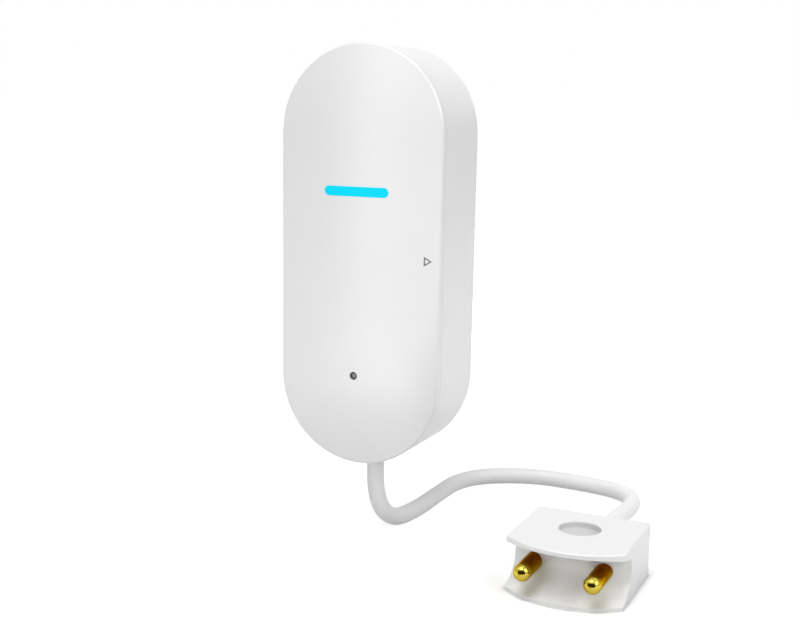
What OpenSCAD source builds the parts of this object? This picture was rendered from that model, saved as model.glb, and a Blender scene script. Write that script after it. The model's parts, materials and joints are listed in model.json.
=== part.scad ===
// Water leak sensor: a wall-held housing with a wired two-pin probe that lies on the floor below it.
// Frame: +Z up, front towards -Y, origin at the middle of the adhesive pad's wall side.
// Depths written h are measured from the back face of the rear shell towards the front.

/* [Housing] */
// Width of the housing
body_w = 36; // [34:0.5:44]
// Height of the housing
body_h = 86; // [84:1:120]
// Depth from the back face to the front rim
body_d = 18.8; // [17.6:0.2:26]
// Rise of the front face above its rim
crown = 1.9; // [1.2:0.1:3]
// Radius of the front rim
rim_round = 0.6; // [0.3:0.1:0.8]
// Radius of the back edge
back_round = 0.8; // [0.3:0.1:1.5]
// Thickness of the rear shell's side wall
wall = 2; // [1.6:0.1:2.4]
// Thickness of the rear shell's back wall
floor_t = 2; // [1.6:0.1:2.4]
// Thickness of the front cover
lid_wall = 1.8; // [1.4:0.1:2.2]
// Depth of the cover's edge behind the front rim
lid_skirt = 1.3; // [0.8:0.1:2]
// Gap of the seam between the two shells
seam_gap = 0.1; // [0.05:0.05:0.3]
// Thickness of the adhesive pad
pad_t = 0.8; // [0.5:0.1:2]
// Margin between the pad and the housing's outline
pad_inset = 4; // [2:0.5:8]

/* [Seal] */
// Width of the ledge that carries the gasket
ledge_w = 1.4; // [1.2:0.1:1.8]
// Thickness of that ledge
ledge_t = 1.2; // [0.8:0.1:2]
// Thickness of the gasket
gasket_t = 1; // [0.6:0.1:1.6]
// Clearance between the gasket and the wall
gasket_clear = 0.1; // [0.05:0.05:0.2]
// Thickness of the cover's tongue
tongue_t = 1.2; // [0.8:0.1:1.6]
// Reach of the tongue behind the seam
tongue_l = 2.7; // [1.6:0.1:3.5]
// Clearance between the tongue and the rear shell
tongue_clear = 0.3; // [0.2:0.05:0.4]

/* [Status light] */
// Length of the light bar
light_w = 14.2; // [10:0.2:16]
// Height of the light bar
light_t = 1.9; // [1.4:0.1:2.6]
// Distance of the light bar from the top of the housing
light_down = 29.4; // [27:0.2:31]
// Clearance round the light bar
light_clear = 0.05; // [0.02:0.01:0.1]
// Thickness of the flange behind the light bar
light_flange_t = 1; // [0.8:0.1:1.6]
// Margin of that flange round the light bar
light_flange = 1.2; // [0.8:0.1:1.6]
// Distance between the two lamps behind the light bar
led_pitch = 20.4; // [18:0.2:22]

/* [Pairing button] */
// Distance of the button from the bottom of the housing
button_up = 19; // [18.6:0.2:20.8]
// Diameter of the pin-hole in the cover
pin_hole_d = 1.5; // [1:0.1:2.5]
// Diameter of the plunger
plunger_d = 3.4; // [2.6:0.1:3.8]
// Clearance of the plunger in its switch
plunger_clear = 0.1; // [0.05:0.01:0.15]
// Travel of the plunger
press_travel = 0.3; // [0.2:0.05:0.5]
// Gap between the plunger and the cover
plunger_gap = 0.6; // [0.4:0.1:1]
// Width of the switch body
switch_w = 6; // [5.6:0.1:6.2]
// Height of the switch body
switch_t = 3.5; // [3:0.1:5]

/* [Alignment mark] */
// Distance of the mark from the housing's middle
mark_x = 14.6; // [12:0.1:14.8]
// Height of the mark's middle
mark_z = 0.4; // [-10:0.1:10]
// Length of the mark
mark_w = 1.7; // [1.2:0.1:1.8]
// Height of the mark
mark_t = 2.05; // [1.5:0.05:3]
// Width of the mark's line
mark_line = 0.3; // [0.2:0.05:0.4]
// Depth of the engraving at the mark's middle
mark_cut = 0.25; // [0.2:0.05:0.35]

/* [Circuit board] */
// Height of the board above the back wall
pcb_standoff = 4; // [3.5:0.1:5]
// Thickness of the board
pcb_t = 1; // [0.8:0.1:1.6]
// Clearance between the board and the ledge
pcb_clear = 0.3; // [0.2:0.1:0.6]
// Distance of the screws from the board's edge
screw_edge = 3.3; // [2.8:0.1:3.5]
// Diameter of the screws
screw_d = 2; // [1.6:0.1:2.2]
// Diameter of the screw heads
screw_head_d = 3.8; // [3.2:0.1:4]
// Height of the screw heads
screw_head_t = 1.4; // [1:0.1:1.8]
// Clearance of a screw in its boss
screw_clear = 0.05; // [0.02:0.01:0.1]
// Diameter of the bosses
boss_d = 4.4; // [3.6:0.1:4.8]

/* [Battery] */
// Diameter of the cell
cell_d = 14.5; // [12:0.1:15.4]
// Length of the cell with its button
cell_l = 25.2; // [20:0.1:27]
// Gap between the cell and the back wall
cell_lift = 0.5; // [0.3:0.1:0.8]
// Clearance between the cell and the board's window
cell_clear = 0.75; // [0.4:0.05:1]
// Thickness of the contact strips
contact_t = 0.4; // [0.3:0.05:0.5]
// Depth of the leaf spring behind the cell
spring_l = 3; // [2.4:0.1:3.2]

/* [Cable] */
// Diameter of the cable
cable_d = 3.8; // [3:0.1:4.4]
// Height of the cable's line above the back face
cable_h = 9.5; // [9:0.1:10]
// Clearance of the cable in its clamp and grommet
cable_clear = 0.05; // [0.02:0.01:0.1]
// Diameter of the grommet's neck
grommet_d = 6.6; // [5.8:0.1:7]
// Diameter of the grommet's flange
grommet_flange_d = 9; // [8.4:0.1:9.4]
// Thickness of the grommet's flange
grommet_flange_t = 1.5; // [1:0.1:2]
// Length of the clamp along the cable
clamp_l = 3.5; // [3:0.1:3.8]
// Half width of the clamp
clamp_half = 7.2; // [6.8:0.1:7.4]
// Diameter of the lead wires
lead_d = 1.2; // [0.8:0.1:1.4]

/* [Probe] */
// Height of the surface that the probe lies on
floor_z = -61; // [-64:0.5:-58]
// Place of the probe's middle along X
probe_x = 48; // [46:0.5:50]
// Place of the probe's middle along Y
probe_y = -17.7; // [-20:0.1:-16]
// Width of the probe
probe_w = 23.2; // [22:0.2:30]
// Depth of the probe along its sides
probe_d = 20; // [19:0.5:26]
// Bow of the curved front edge
probe_bow = 4.4; // [3:0.1:5]
// Height of the probe
probe_t = 11; // [10:0.1:14]
// Radius of the top edges
probe_round = 0.3; // [0.2:0.05:0.6]
// Thickness of the top lip at the front
lip_top = 0.9; // [0.7:0.1:1.4]
// Thickness of the bottom lip at the front
lip_bottom = 0.7; // [0.5:0.1:1.2]
// Depth of the scoop behind the front edge
scoop_depth = 6.3; // [5.5:0.1:6.6]
// Radius of the scoop's floor
scoop_round = 5.3; // [4:0.1:5.4]
// Drop of the scoop's roof towards the back
scoop_drop = 1.8; // [1:0.1:2]
// Radius of the scoop's curve seen from above
scoop_sweep = 20.1; // [19:0.1:24]
// Thickness of the probe's walls
probe_wall = 2; // [1.6:0.1:2.2]
// Thickness of the base plate
plate_t = 1.2; // [0.8:0.1:1.6]
// Step that the base plate sits against
plate_step = 0.8; // [0.6:0.1:1]
// Clearance round the base plate
plate_clear = 0.1; // [0.05:0.05:0.2]
// Recess of the base plate above the floor
plate_lift = 0.3; // [0.2:0.1:0.5]

/* [Probe recess] */
// Diameter of the round recess in the probe's top
recess_d = 8.4; // [7:0.1:9]
// Depth of that recess
recess_t = 1.2; // [0.8:0.1:1.6]

/* [Probe pins] */
// Diameter of the pins
pin_d = 3.45; // [2.6:0.05:3.8]
// Distance between the two pins
pin_span = 13.6; // [12:0.2:14]
// Height of the pins above the floor
pin_z = 5.7; // [5.4:0.1:6]
// Reach of the pins in front of the front edge's middle
pin_proud = 1.4; // [0.5:0.1:2]
// Diameter of the solder tails
tail_d = 1.4; // [1:0.1:1.8]
// Length of the solder tails
tail_l = 2.5; // [1.5:0.1:3]
// Height of the cable's bush above the floor
bush_z = 5; // [4.6:0.1:5.4]
// Diameter of the bush
bush_d = 5.2; // [4.6:0.1:5.8]
// Rim of the bush's inner flange
bush_rim = 0.3; // [0.2:0.1:0.5]
// Thickness of the bush's inner flange
bush_flange_t = 1; // [0.6:0.1:1.4]

/* [Hidden] */
$fn = 96;
eps = 0.01;

// Housing: half width, and half the distance between the centres of the two round ends
body_r = body_w / 2;
end_z = body_h / 2 - body_r;
top_z = body_h / 2;
bottom_z = -body_h / 2;
inner_r = body_r - wall;

// Front face: one arc across the width, and the circle that rounds the rim
crown_r = (body_r * body_r + crown * crown) / (2 * crown);
crown_h = body_d + crown - crown_r;
rim_h = crown_h + sqrt(pow(crown_r - rim_round, 2) - pow(body_r - rim_round, 2));
rim_meet = (body_r - rim_round) * crown_r / (crown_r - rim_round);
lid_top = body_d + crown;
lid_in = lid_top - lid_wall;
seam_h = body_d - lid_skirt;
function front_at(x) = crown_h + sqrt(crown_r * crown_r - x * x);
function under_at(x) = crown_h + sqrt(pow(crown_r - lid_wall, 2) - x * x);

// Seal: the tongue presses the gasket on its ledge
tongue_r = inner_r - tongue_clear;
tongue_end = seam_h - tongue_l;
gasket_h = tongue_end - gasket_t;
ledge_r = inner_r - ledge_w;

// Status light
light_z = top_z - light_down;
led_size = [3, 2.4, 1.4];
leg_size = [3, 2.2];
flange_half = led_pitch / 2 + leg_size[0] / 2;
flange_h = under_at(flange_half) - light_flange_t;
leg_gap = 0.8;

// Board
pcb_h = floor_t + pcb_standoff;
pcb_top = pcb_h + pcb_t;
pcb_r = ledge_r - pcb_clear;
screw_ring = pcb_r - screw_edge;
screw_short = 0.6;
screw_len = pcb_t + pcb_standoff - screw_short;
screw_up = 1;
screw_turn = 30;
hole_margin = 0.2;
pilot_floor = 0.4;

// Button
button_z = bottom_z + button_up;
plunger_top = lid_in - plunger_gap;
switch_floor = 0.8;
plunger_rest = 0.2;
plunger_foot = pcb_top + switch_floor + press_travel + plunger_rest;

// Cell, standing above the button between its two contacts
cell_h = floor_t + cell_lift + cell_d / 2;
switch_gap = 0.3;
spring_z = button_z + switch_w / 2 + switch_gap + contact_t;
cell_low = spring_z + spring_l;
cell_top = cell_low + cell_l;
cell_nub_d = 5;
cell_nub_l = 1;
window_half = cell_d / 2 + cell_clear;
window_gap = 0.2;
window_low = spring_z - contact_t - window_gap;
window_high = cell_top + contact_t + window_gap;
foot_gap = 0.5;
contact_up = 4;
foot_l = 2;
contact_end = cell_top + contact_t + foot_l;
foot_w = 3;
contact_w = switch_w + 2 * (foot_gap + foot_w);
rail_x = (window_half + pcb_r) / 2;
saddle_ups = [6, 18];
saddle_t = 1.6;
saddle_drop = 1;

// Parts on the board
shield_size = [14, 12, 2.4];
shield_wall = 0.3;
vent_d = 1;
antenna_size = [7, 2, 1];
antenna_edge = 3.8;
antenna_z = end_z + pcb_r - antenna_edge;
passive = [1.6, 0.8, 0.8];
passive_pitch = 2.2;
passive_up = 4;
passive_out = 3;
shield_z = (contact_end + antenna_z - passive_pitch - passive[1] / 2) / 2;
radio_chip = [6, 6, 0.9];
memory_chip = [4, 5, 1.5];
supply_chip = [3, 3, 1.2];
guard_chip = [3, 1.8, 1.1];
memory_up = 18;
supply_up = 15;
guard_up = 6;

// Cable inside the housing
cable_r = cable_d / 2;
grommet_inset = 0.3;
grommet_end = bottom_z + grommet_inset;
grommet_seat = -end_z - sqrt(inner_r * inner_r - pow(grommet_flange_d / 2, 2));
clamp_gap = 2;
clamp_low = grommet_seat + grommet_flange_t + clamp_gap;
clamp_top = clamp_low + clamp_l;
clamp_split = 0.1;
clamp_cap = 1;
clamp_screw_gap = 2.7;
clamp_screw_x = cable_r + clamp_screw_gap;
clamp_screw_floor = 1.5;
tail_out = 1;
tail_end = clamp_top + tail_out;
board_gap = 1;
pcb_low = tail_end + board_gap;
lead_pitch = 1.6;

// Plug and header at the board's lower edge
header_size = [3.5, 4.4, 3.6];
plug_size = [5, 3.4, 2.8];
plug_nose = 1.2;
plug_lift = 0.4;
plug_clear = 0.05;
header_edge = 2.6;
header_up = 2.4;
header_x = pcb_r - header_edge - header_size[0];
plug_x = header_x + plug_nose - plug_size[0];
plug_z = pcb_low + header_up;

// Probe: local places u along X, v along Y, w up from the floor
front_r = (pow(probe_w / 2, 2) + probe_bow * probe_bow) / (2 * probe_bow);
front_mid = -probe_d / 2 - probe_bow;
front_centre = front_mid + front_r;
scoop_centre = front_mid + scoop_depth + scoop_sweep;
back_v = probe_d / 2;
pocket_half = probe_w / 2 - probe_wall;
pocket_back = back_v - probe_wall + 0.2;
pocket_front = scoop_centre - sqrt(scoop_sweep * scoop_sweep - pocket_half * pocket_half) + probe_wall - 0.4;
bush_flange_d = bush_d + 2 * bush_rim;
room_top = bush_z + bush_flange_d / 2 + plate_clear;
room_half = pocket_half - plate_step;
room_back = pocket_back - plate_step;
room_front = pocket_front + plate_step;
plate_top = plate_lift + plate_t;
lead_side = pin_span / 3;
pin_tip = front_mid - pin_proud;

// Route of the free cable, from the grommet down to the floor and round to the back of the probe
ROUTE = [
    [0, -10.3, -42.7], [0, -10.3, -44.5], [0.5, -11.5, -49], [1, -11, -53.5], [1.5, -8.5, -57], [2.5, -4.5, -59.1],
    [3.5, 0, -59.1], [4, 5, -59.1], [4, 11, -59.1], [4, 18, -59.1], [4, 26, -59.1], [7, 33, -59.1],
    [12.5, 37, -59.1], [18, 39.5, -59.1], [24, 40.5, -59.1], [30, 40, -59.1], [36, 39.5, -59.1], [41.5, 38, -59.1],
    [45.5, 34.5, -59.1], [47, 30, -59.1], [47, 25, -59], [47, 20, -58.5], [47, 14, -58], [47.5, 8, -57],
    [48, 2, -56], [48, -3, -56], [48, -7.7, -56]
];

WHITE = [0.94, 0.94, 0.94];
CYAN = [0, 0.88, 1];
GOLD = [0.86, 0.68, 0.28];
STEEL = [0.75, 0.76, 0.78];
BOARD = [0.05, 0.33, 0.2];
BLACK = [0.1, 0.1, 0.11];

// A flat shape drawn in X and Z, raised from depth h0 to depth h1
module slab(h0, h1) {
    rotate([90, 0, 0])
        translate([0, 0, pad_t + h0])
            linear_extrude(height = h1 - h0)
                children();
}

// A rectangular block centred on x and z, of the given size across, up and deep, standing at depth h
module block(x, z, h, size) {
    slab(h, h + size[2])
        translate([x, z])
            square([size[0], size[1]], center = true);
}

// A round bar along Z at place x and depth h
module upright(x, h, z0, z1, d) {
    translate([x, -pad_t - h, z0])
        cylinder(d = d, h = z1 - z0);
}

// The part of a shape that lies behind depth h
module below(h) {
    intersection() {
        children();
        slab(0, h)
            square([body_w, body_h], center = true);
    }
}

// A capsule outline: two round ends and the straight stretch between them
module capsule(r, l = end_z) {
    for (s = [-1, 1])
        translate([0, s * l])
            circle(r);
    square([2 * r, 2 * l], center = true);
}

// A bar outline with round ends, lying along X
module pill(w, t) {
    rotate(90)
        capsule(t / 2, (w - t) / 2);
}

// A half profile in radius and depth, turned at both ends of the housing and drawn straight between them
module capsule_turn() {
    for (turn = [0, 180])
        rotate([90, 0, 0])
            translate([0, 0, pad_t])
                rotate(turn)
                    translate([0, end_z])
                        rotate_extrude(angle = 180)
                            children();
    translate([0, -pad_t, -end_z])
        linear_extrude(height = 2 * end_z)
            for (side = [0, 1])
                mirror([side, 0])
                    mirror([0, 1])
                        children();
}

// Half profile of the front: crowned face, rounded rim and straight side down to depth h0
module front_profile(h0) {
    intersection() {
        translate([0, crown_h])
            circle(crown_r, $fn = 720);
        translate([0, h0])
            square([rim_meet, lid_top - h0]);
    }
    translate([body_r - rim_round, rim_h])
        circle(rim_round);
    translate([0, h0])
        square([body_r, rim_h - h0]);
}

// Half profile of the space under the cover, out to radius r
module under_profile(h0, r) {
    intersection() {
        translate([0, crown_h])
            circle(crown_r - lid_wall, $fn = 720);
        translate([0, h0])
            square([r, lid_in - h0 + eps]);
    }
}

// Half profile of the rear shell's outside
module back_profile(h1) {
    square([body_r - back_round, h1]);
    translate([0, back_round])
        square([body_r, h1 - back_round]);
    translate([body_r - back_round, back_round])
        circle(back_round);
}

// Places of the four board screws, in X and Z
function board_screws() = [
    for (s = [-1, 1])
        each [
            [s * screw_ring * cos(screw_turn), end_z + screw_ring * sin(screw_turn)],
            [s * screw_ring, button_z + screw_up]
        ]
];

// Triangle of the alignment mark, drawn in by the given distance from its outline
function mark_outline(inset) = let (
        a = mark_t / 2,
        near = a * mark_w / (a + norm([a, mark_w])),
        keep = 1 - inset / near
    )
    [for (p = [[0, -a], [mark_w, 0], [0, a]]) [near + (p[0] - near) * keep, p[1] * keep]];

module rear_shell() {
    saddle_h = pcb_h - saddle_drop;
    root_h = floor_t - wall / 2;
    color(WHITE)
        difference() {
            union() {
                difference() {
                    capsule_turn()
                        back_profile(seam_h - seam_gap);
                    slab(floor_t, seam_h + 1)
                        capsule(inner_r);
                }
                slab(gasket_h - ledge_t, gasket_h)
                    difference() {
                        capsule(inner_r + wall / 2);
                        capsule(ledge_r);
                    }
                for (p = board_screws())
                    slab(root_h, pcb_h)
                        translate(p)
                            circle(d = boss_d);
                difference() {
                    for (up = saddle_ups)
                        block(0, cell_low + up, root_h, [2 * window_half, saddle_t, saddle_h - root_h]);
                    upright(0, cell_h, cell_low, cell_top, cell_d + 2 * cable_clear);
                }
                block(0, (clamp_low + clamp_top) / 2, root_h,
                    [2 * clamp_half, clamp_l, cable_h - clamp_split - root_h]);
                below(gasket_h - ledge_t)
                    upright(0, cable_h, bottom_z + wall / 2, grommet_seat, grommet_flange_d);
            }
            upright(0, cable_h, bottom_z - 1, grommet_seat + 1, grommet_d + 2 * cable_clear);
            upright(0, cable_h, clamp_low - 1, clamp_top + 1, cable_d + 2 * cable_clear);
            for (p = board_screws())
                slab(floor_t + pilot_floor, pcb_h + 1)
                    translate(p)
                        circle(d = screw_d + 2 * screw_clear);
            for (s = [-1, 1])
                slab(floor_t + pilot_floor, cable_h)
                    translate([s * clamp_screw_x, (clamp_low + clamp_top) / 2])
                        circle(d = screw_d + 2 * screw_clear);
        }
}

module front_cover() {
    color(WHITE)
        difference() {
            union() {
                difference() {
                    capsule_turn()
                        front_profile(seam_h);
                    capsule_turn()
                        under_profile(seam_h - 1, tongue_r - tongue_t / 2);
                }
                slab(tongue_end, under_at(tongue_r) + lid_wall / 2)
                    difference() {
                        capsule(tongue_r);
                        capsule(tongue_r - tongue_t);
                    }
            }
            slab(seam_h - 1, lid_top + 1)
                translate([0, light_z])
                    pill(light_w + 2 * light_clear, light_t + 2 * light_clear);
            slab(seam_h - 1, lid_top + 1)
                translate([0, button_z])
                    circle(d = pin_hole_d);
            slab(front_at(mark_x + mark_w / 2) - mark_cut, lid_top + 1)
                translate([mark_x, mark_z])
                    difference() {
                        polygon(mark_outline(0));
                        polygon(mark_outline(mark_line));
                    }
        }
}

module light_guide() {
    color(CYAN) {
        intersection() {
            slab(flange_h, lid_top + 1)
                translate([0, light_z])
                    pill(light_w, light_t);
            capsule_turn()
                front_profile(flange_h - 1);
        }
        intersection() {
            block(0, light_z, flange_h,
                [2 * flange_half, light_t + 2 * light_flange, lid_wall + light_flange_t]);
            capsule_turn()
                under_profile(flange_h - 1, tongue_r - tongue_t);
        }
        for (s = [-1, 1])
            block(s * led_pitch / 2, light_z, pcb_top + led_size[2] + leg_gap,
                [leg_size[0], leg_size[1], flange_h - pcb_top - led_size[2] - leg_gap + eps]);
    }
}

module cover_gasket() {
    color([0.35, 0.36, 0.38])
        slab(gasket_h, tongue_end)
            difference() {
                capsule(inner_r - gasket_clear);
                capsule(ledge_r + gasket_clear);
            }
}

module adhesive_pad() {
    color([0.82, 0.82, 0.8])
        slab(-pad_t, 0)
            capsule(body_r - pad_inset, end_z - pad_inset);
}

module main_pcb() {
    color(BOARD)
        slab(pcb_h, pcb_top)
            difference() {
                intersection() {
                    capsule(pcb_r);
                    translate([-pcb_r, pcb_low])
                        square([2 * pcb_r, body_h]);
                }
                translate([-window_half, window_low])
                    square([2 * window_half, window_high - window_low]);
                for (p = board_screws())
                    translate(p)
                        circle(d = screw_d + 2 * hole_margin);
            }
}

// A cross-head screw whose head sits at depth h, with its thread running back from there
module pan_screw(x, z, h, thread) {
    slot = [0.5, 2.2, 0.8];
    difference() {
        union() {
            slab(h - thread, h + eps)
                translate([x, z])
                    circle(d = screw_d);
            slab(h, h + screw_head_t)
                translate([x, z])
                    circle(d = screw_head_d);
        }
        block(x, z, h + screw_head_t - slot[2], [slot[0], slot[1], slot[2] + 1]);
        block(x, z, h + screw_head_t - slot[2], [slot[1], slot[0], slot[2] + 1]);
    }
}

module pcb_screws() {
    color(STEEL)
        for (p = board_screws())
            pan_screw(p[0], p[1], pcb_top, screw_len);
}

module radio_shield() {
    inside = shield_size - [2 * shield_wall, 2 * shield_wall, shield_wall];
    color(STEEL)
        difference() {
            block(0, shield_z, pcb_top, shield_size);
            block(0, shield_z, pcb_top - 1, inside + [0, 0, 1]);
            for (x = [-1, 0, 1], z = [-1, 1])
                slab(pcb_top, pcb_top + shield_size[2] + 1)
                    translate([x * shield_size[0] / 4, shield_z + z * shield_size[1] / 4])
                        circle(d = vent_d);
        }
}

module pcb_chips() {
    color(BLACK) {
        block(0, shield_z, pcb_top, radio_chip);
        block(-rail_x, cell_low + memory_up, pcb_top, memory_chip);
        block(rail_x, cell_low + supply_up, pcb_top, supply_chip);
        block(rail_x, cell_low + guard_up, pcb_top, guard_chip);
    }
}

module pcb_passives() {
    color([0.62, 0.5, 0.36]) {
        for (k = [0:3])
            block(-rail_x, cell_low + passive_up + k * passive_pitch, pcb_top, passive);
        for (s = [-1, 1])
            block(s * passive_out, antenna_z - passive_pitch, pcb_top, passive);
        for (s = [-1, 1])
            block(s * led_pitch / 2, light_z + led_size[1] / 2 + passive[1], pcb_top, passive);
    }
}

module chip_antenna() {
    color([0.88, 0.86, 0.8])
        block(0, antenna_z, pcb_top, antenna_size);
}

module status_leds() {
    color([0.95, 0.95, 0.88])
        for (s = [-1, 1])
            block(s * led_pitch / 2, light_z, pcb_top, led_size);
}

module button_switch() {
    color(BLACK)
        difference() {
            block(0, button_z, pcb_top, [switch_w, switch_w, switch_t]);
            slab(pcb_top + switch_floor, pcb_top + switch_t + 1)
                translate([0, button_z])
                    circle(d = plunger_d + 2 * plunger_clear);
        }
}

module button_plunger() {
    color([0.2, 0.2, 0.21])
        slab(plunger_foot, plunger_top)
            translate([0, button_z])
                circle(d = plunger_d);
}

module battery_cell() {
    color([0.25, 0.45, 0.62]) {
        upright(0, cell_h, cell_low, cell_top - cell_nub_l, cell_d);
        upright(0, cell_h, cell_top - cell_nub_l - eps, cell_top, cell_nub_d);
    }
}

// A contact plate across the cell's end at height z, with two feet that reach past the window by foot_l
module contact_plate(z, foot_way) {
    block(0, z + contact_t / 2, pcb_h, [contact_w, contact_t, cell_h + contact_up - pcb_h]);
    for (s = [-1, 1])
        block(s * (contact_w - foot_w) / 2, z + contact_t / 2 + foot_way * foot_l / 2, pcb_top,
            [foot_w, foot_l + contact_t, contact_t]);
}

module battery_positive_contact() {
    color(STEEL)
        contact_plate(cell_top, 1);
}

module battery_spring_contact() {
    leaf_w = 7;
    leaf_flat = 0.8;
    leaf = [
        [0, contact_up], [contact_t, contact_up], [spring_l, leaf_flat], [spring_l, -leaf_flat],
        [contact_t, -contact_up + 1], [contact_t / 2, -contact_up + 1.4], [spring_l - contact_t, -leaf_flat],
        [spring_l - contact_t, leaf_flat - contact_t / 2], [0, contact_up - 2 * contact_t]
    ];
    color(STEEL) {
        contact_plate(spring_z - contact_t, -1);
        translate([-leaf_w / 2, -pad_t - cell_h, spring_z])
            rotate([90, 0, 90])
                linear_extrude(height = leaf_w)
                    polygon([for (p = leaf) [-p[1], p[0]]]);
    }
}

module cable_grommet() {
    color(WHITE)
        difference() {
            union() {
                below(gasket_h - gasket_clear)
                    upright(0, cable_h, grommet_end, grommet_seat + eps, grommet_d);
                below(gasket_h - ledge_t - gasket_clear)
                    upright(0, cable_h, grommet_seat, grommet_seat + grommet_flange_t, grommet_flange_d);
            }
            upright(0, cable_h, grommet_end - 1, grommet_seat + grommet_flange_t + 1,
                cable_d + 2 * cable_clear);
        }
}

module cable_tail() {
    color(WHITE)
        upright(0, cable_h, grommet_end, tail_end, cable_d);
}

module cable_clamp() {
    bar_h = cable_h + clamp_split;
    color(WHITE)
        difference() {
            block(0, (clamp_low + clamp_top) / 2, bar_h, [2 * clamp_half, clamp_l, cable_r + clamp_cap]);
            upright(0, cable_h, clamp_low - 1, clamp_top + 1, cable_d + 2 * cable_clear);
            for (s = [-1, 1])
                slab(bar_h - 1, bar_h + cable_r + clamp_cap + 1)
                    translate([s * clamp_screw_x, (clamp_low + clamp_top) / 2])
                        circle(d = screw_d + 2 * hole_margin);
        }
}

module clamp_screws() {
    head_h = cable_h + clamp_split + cable_r + clamp_cap;
    color(STEEL)
        for (s = [-1, 1])
            pan_screw(s * clamp_screw_x, (clamp_low + clamp_top) / 2, head_h,
                head_h - floor_t - clamp_screw_floor);
}

// Points of a smooth line: a uniform cubic B-spline through the reflected ends of the control points
function spline(ctrl, steps) = let (
        last = len(ctrl) - 1,
        full = concat([2 * ctrl[0] - ctrl[1]], ctrl, [2 * ctrl[last] - ctrl[last - 1]])
    )
    concat(
        [for (i = [0:last - 1], k = [0:steps - 1]) spline_point(full, i, k / steps)],
        [spline_point(full, last - 1, 1)]
    );
function spline_point(full, i, t) = (
        pow(1 - t, 3) * full[i]
        + (3 * t * t * t - 6 * t * t + 4) * full[i + 1]
        + (-3 * t * t * t + 3 * t * t + 3 * t + 1) * full[i + 2]
        + t * t * t * full[i + 3]
    ) / 6;
function unit(v) = v / norm(v);

// Direction of a line of points at each of them
function headings(line) = let (last = len(line) - 1)
    [for (i = [0:last]) unit(line[min(i + 1, last)] - line[max(i - 1, 0)])];

// Side vectors carried along the line without twist
function sides_along(way, side, i = 0) = i == len(way) ? [] :
    let (now = unit(side - (side * way[i]) * way[i]))
    concat([now], sides_along(way, now, i + 1));

// A round tube along a smooth line through control points, as rings of the given number of sides
module tube(ctrl, d, steps, sides, first_side) {
    line = spline(ctrl, steps);
    plain = headings(line);
    last = len(line) - 1;
    way = [for (i = [0:last]) i == 0 ? unit(ctrl[1] - ctrl[0]) :
        i == last ? unit(ctrl[len(ctrl) - 1] - ctrl[len(ctrl) - 2]) : plain[i]];
    side = sides_along(way, first_side);
    points = [
        for (i = [0:last], k = [0:sides - 1])
            line[i] + d / 2 * (cos(360 * k / sides) * side[i] + sin(360 * k / sides) * cross(way[i], side[i]))
    ];
    walls = [
        for (i = [0:last - 1], k = [0:sides - 1])
            let (a = i * sides + k, b = i * sides + (k + 1) % sides)
            each [[a, a + sides, b], [b, a + sides, b + sides]]
    ];
    caps = [
        for (k = [1:sides - 2])
            each [[0, k, k + 1], [last * sides, last * sides + k + 1, last * sides + k]]
    ];
    polyhedron(points = points, faces = concat(walls, caps));
}

module lead_wires() {
    y_cable = -pad_t - cable_h;
    y_plug = -pad_t - pcb_top - plug_lift - plug_size[2] / 2;
    for (s = [-1, 1])
        color(s < 0 ? [0.75, 0.1, 0.1] : BLACK)
            tube([
                [s * lead_pitch / 2, y_cable, tail_end], [s * lead_pitch / 2, y_cable, tail_end + 0.8],
                [s * lead_pitch / 2 + 0.6, (y_cable + y_plug) / 2, plug_z - s * lead_pitch / 2 - 0.6],
                [plug_x - 1.2, y_plug, plug_z - s * lead_pitch / 2],
                [plug_x, y_plug, plug_z - s * lead_pitch / 2]
            ], lead_d, 4, 8, [1, 0, 0] + [0, 0.01, 0]);
}

module wire_plug() {
    color([0.93, 0.92, 0.86])
        block(plug_x + plug_size[0] / 2, plug_z, pcb_top + plug_lift, plug_size);
}

module wire_header() {
    grow = 2 * plug_clear;
    color([0.93, 0.92, 0.86])
        difference() {
            block(header_x + header_size[0] / 2, plug_z, pcb_top, header_size);
            block(header_x + plug_nose / 2, plug_z, pcb_top + plug_lift - plug_clear,
                [plug_nose + grow, plug_size[1] + grow, plug_size[2] + grow]);
        }
}

module probe_cable() {
    color(WHITE)
        tube(ROUTE, cable_d, 2, 8, [1, 0, 0]);
}

// Puts a piece of the probe in its place on the floor
module at_probe() {
    translate([probe_x, probe_y, floor_z])
        children();
}

// Outline of the probe from above: straight back and sides, curved front
module probe_outline() {
    intersection() {
        translate([-probe_w / 2, front_mid])
            square([probe_w, back_v - front_mid]);
        translate([0, front_centre])
            circle(front_r, $fn = 360);
    }
    translate([-probe_w / 2, -probe_d / 2])
        square([probe_w, probe_d]);
}

// Waste that rounds an edge: a square corner less the circle of the edge
module corner_waste(r) {
    difference() {
        square(r + 1);
        circle(r);
    }
}

// Scoop between the two lips, in distance from the sweep's axis and in height
module scoop_profile() {
    wall_r = scoop_sweep;
    front = scoop_sweep + scoop_depth;
    turn_h = lip_bottom + scoop_round;
    roof = probe_t - lip_top;
    polygon([
        [front + 2, lip_bottom], [wall_r + scoop_round, lip_bottom], [wall_r + scoop_round, turn_h],
        [wall_r, turn_h], [wall_r, roof - scoop_drop],
        [front, roof], [front + 2, roof + 2 * scoop_drop / scoop_depth]
    ]);
    intersection() {
        translate([wall_r + scoop_round, turn_h])
            circle(scoop_round);
        translate([wall_r, lip_bottom])
            square(scoop_round);
    }
}

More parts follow.
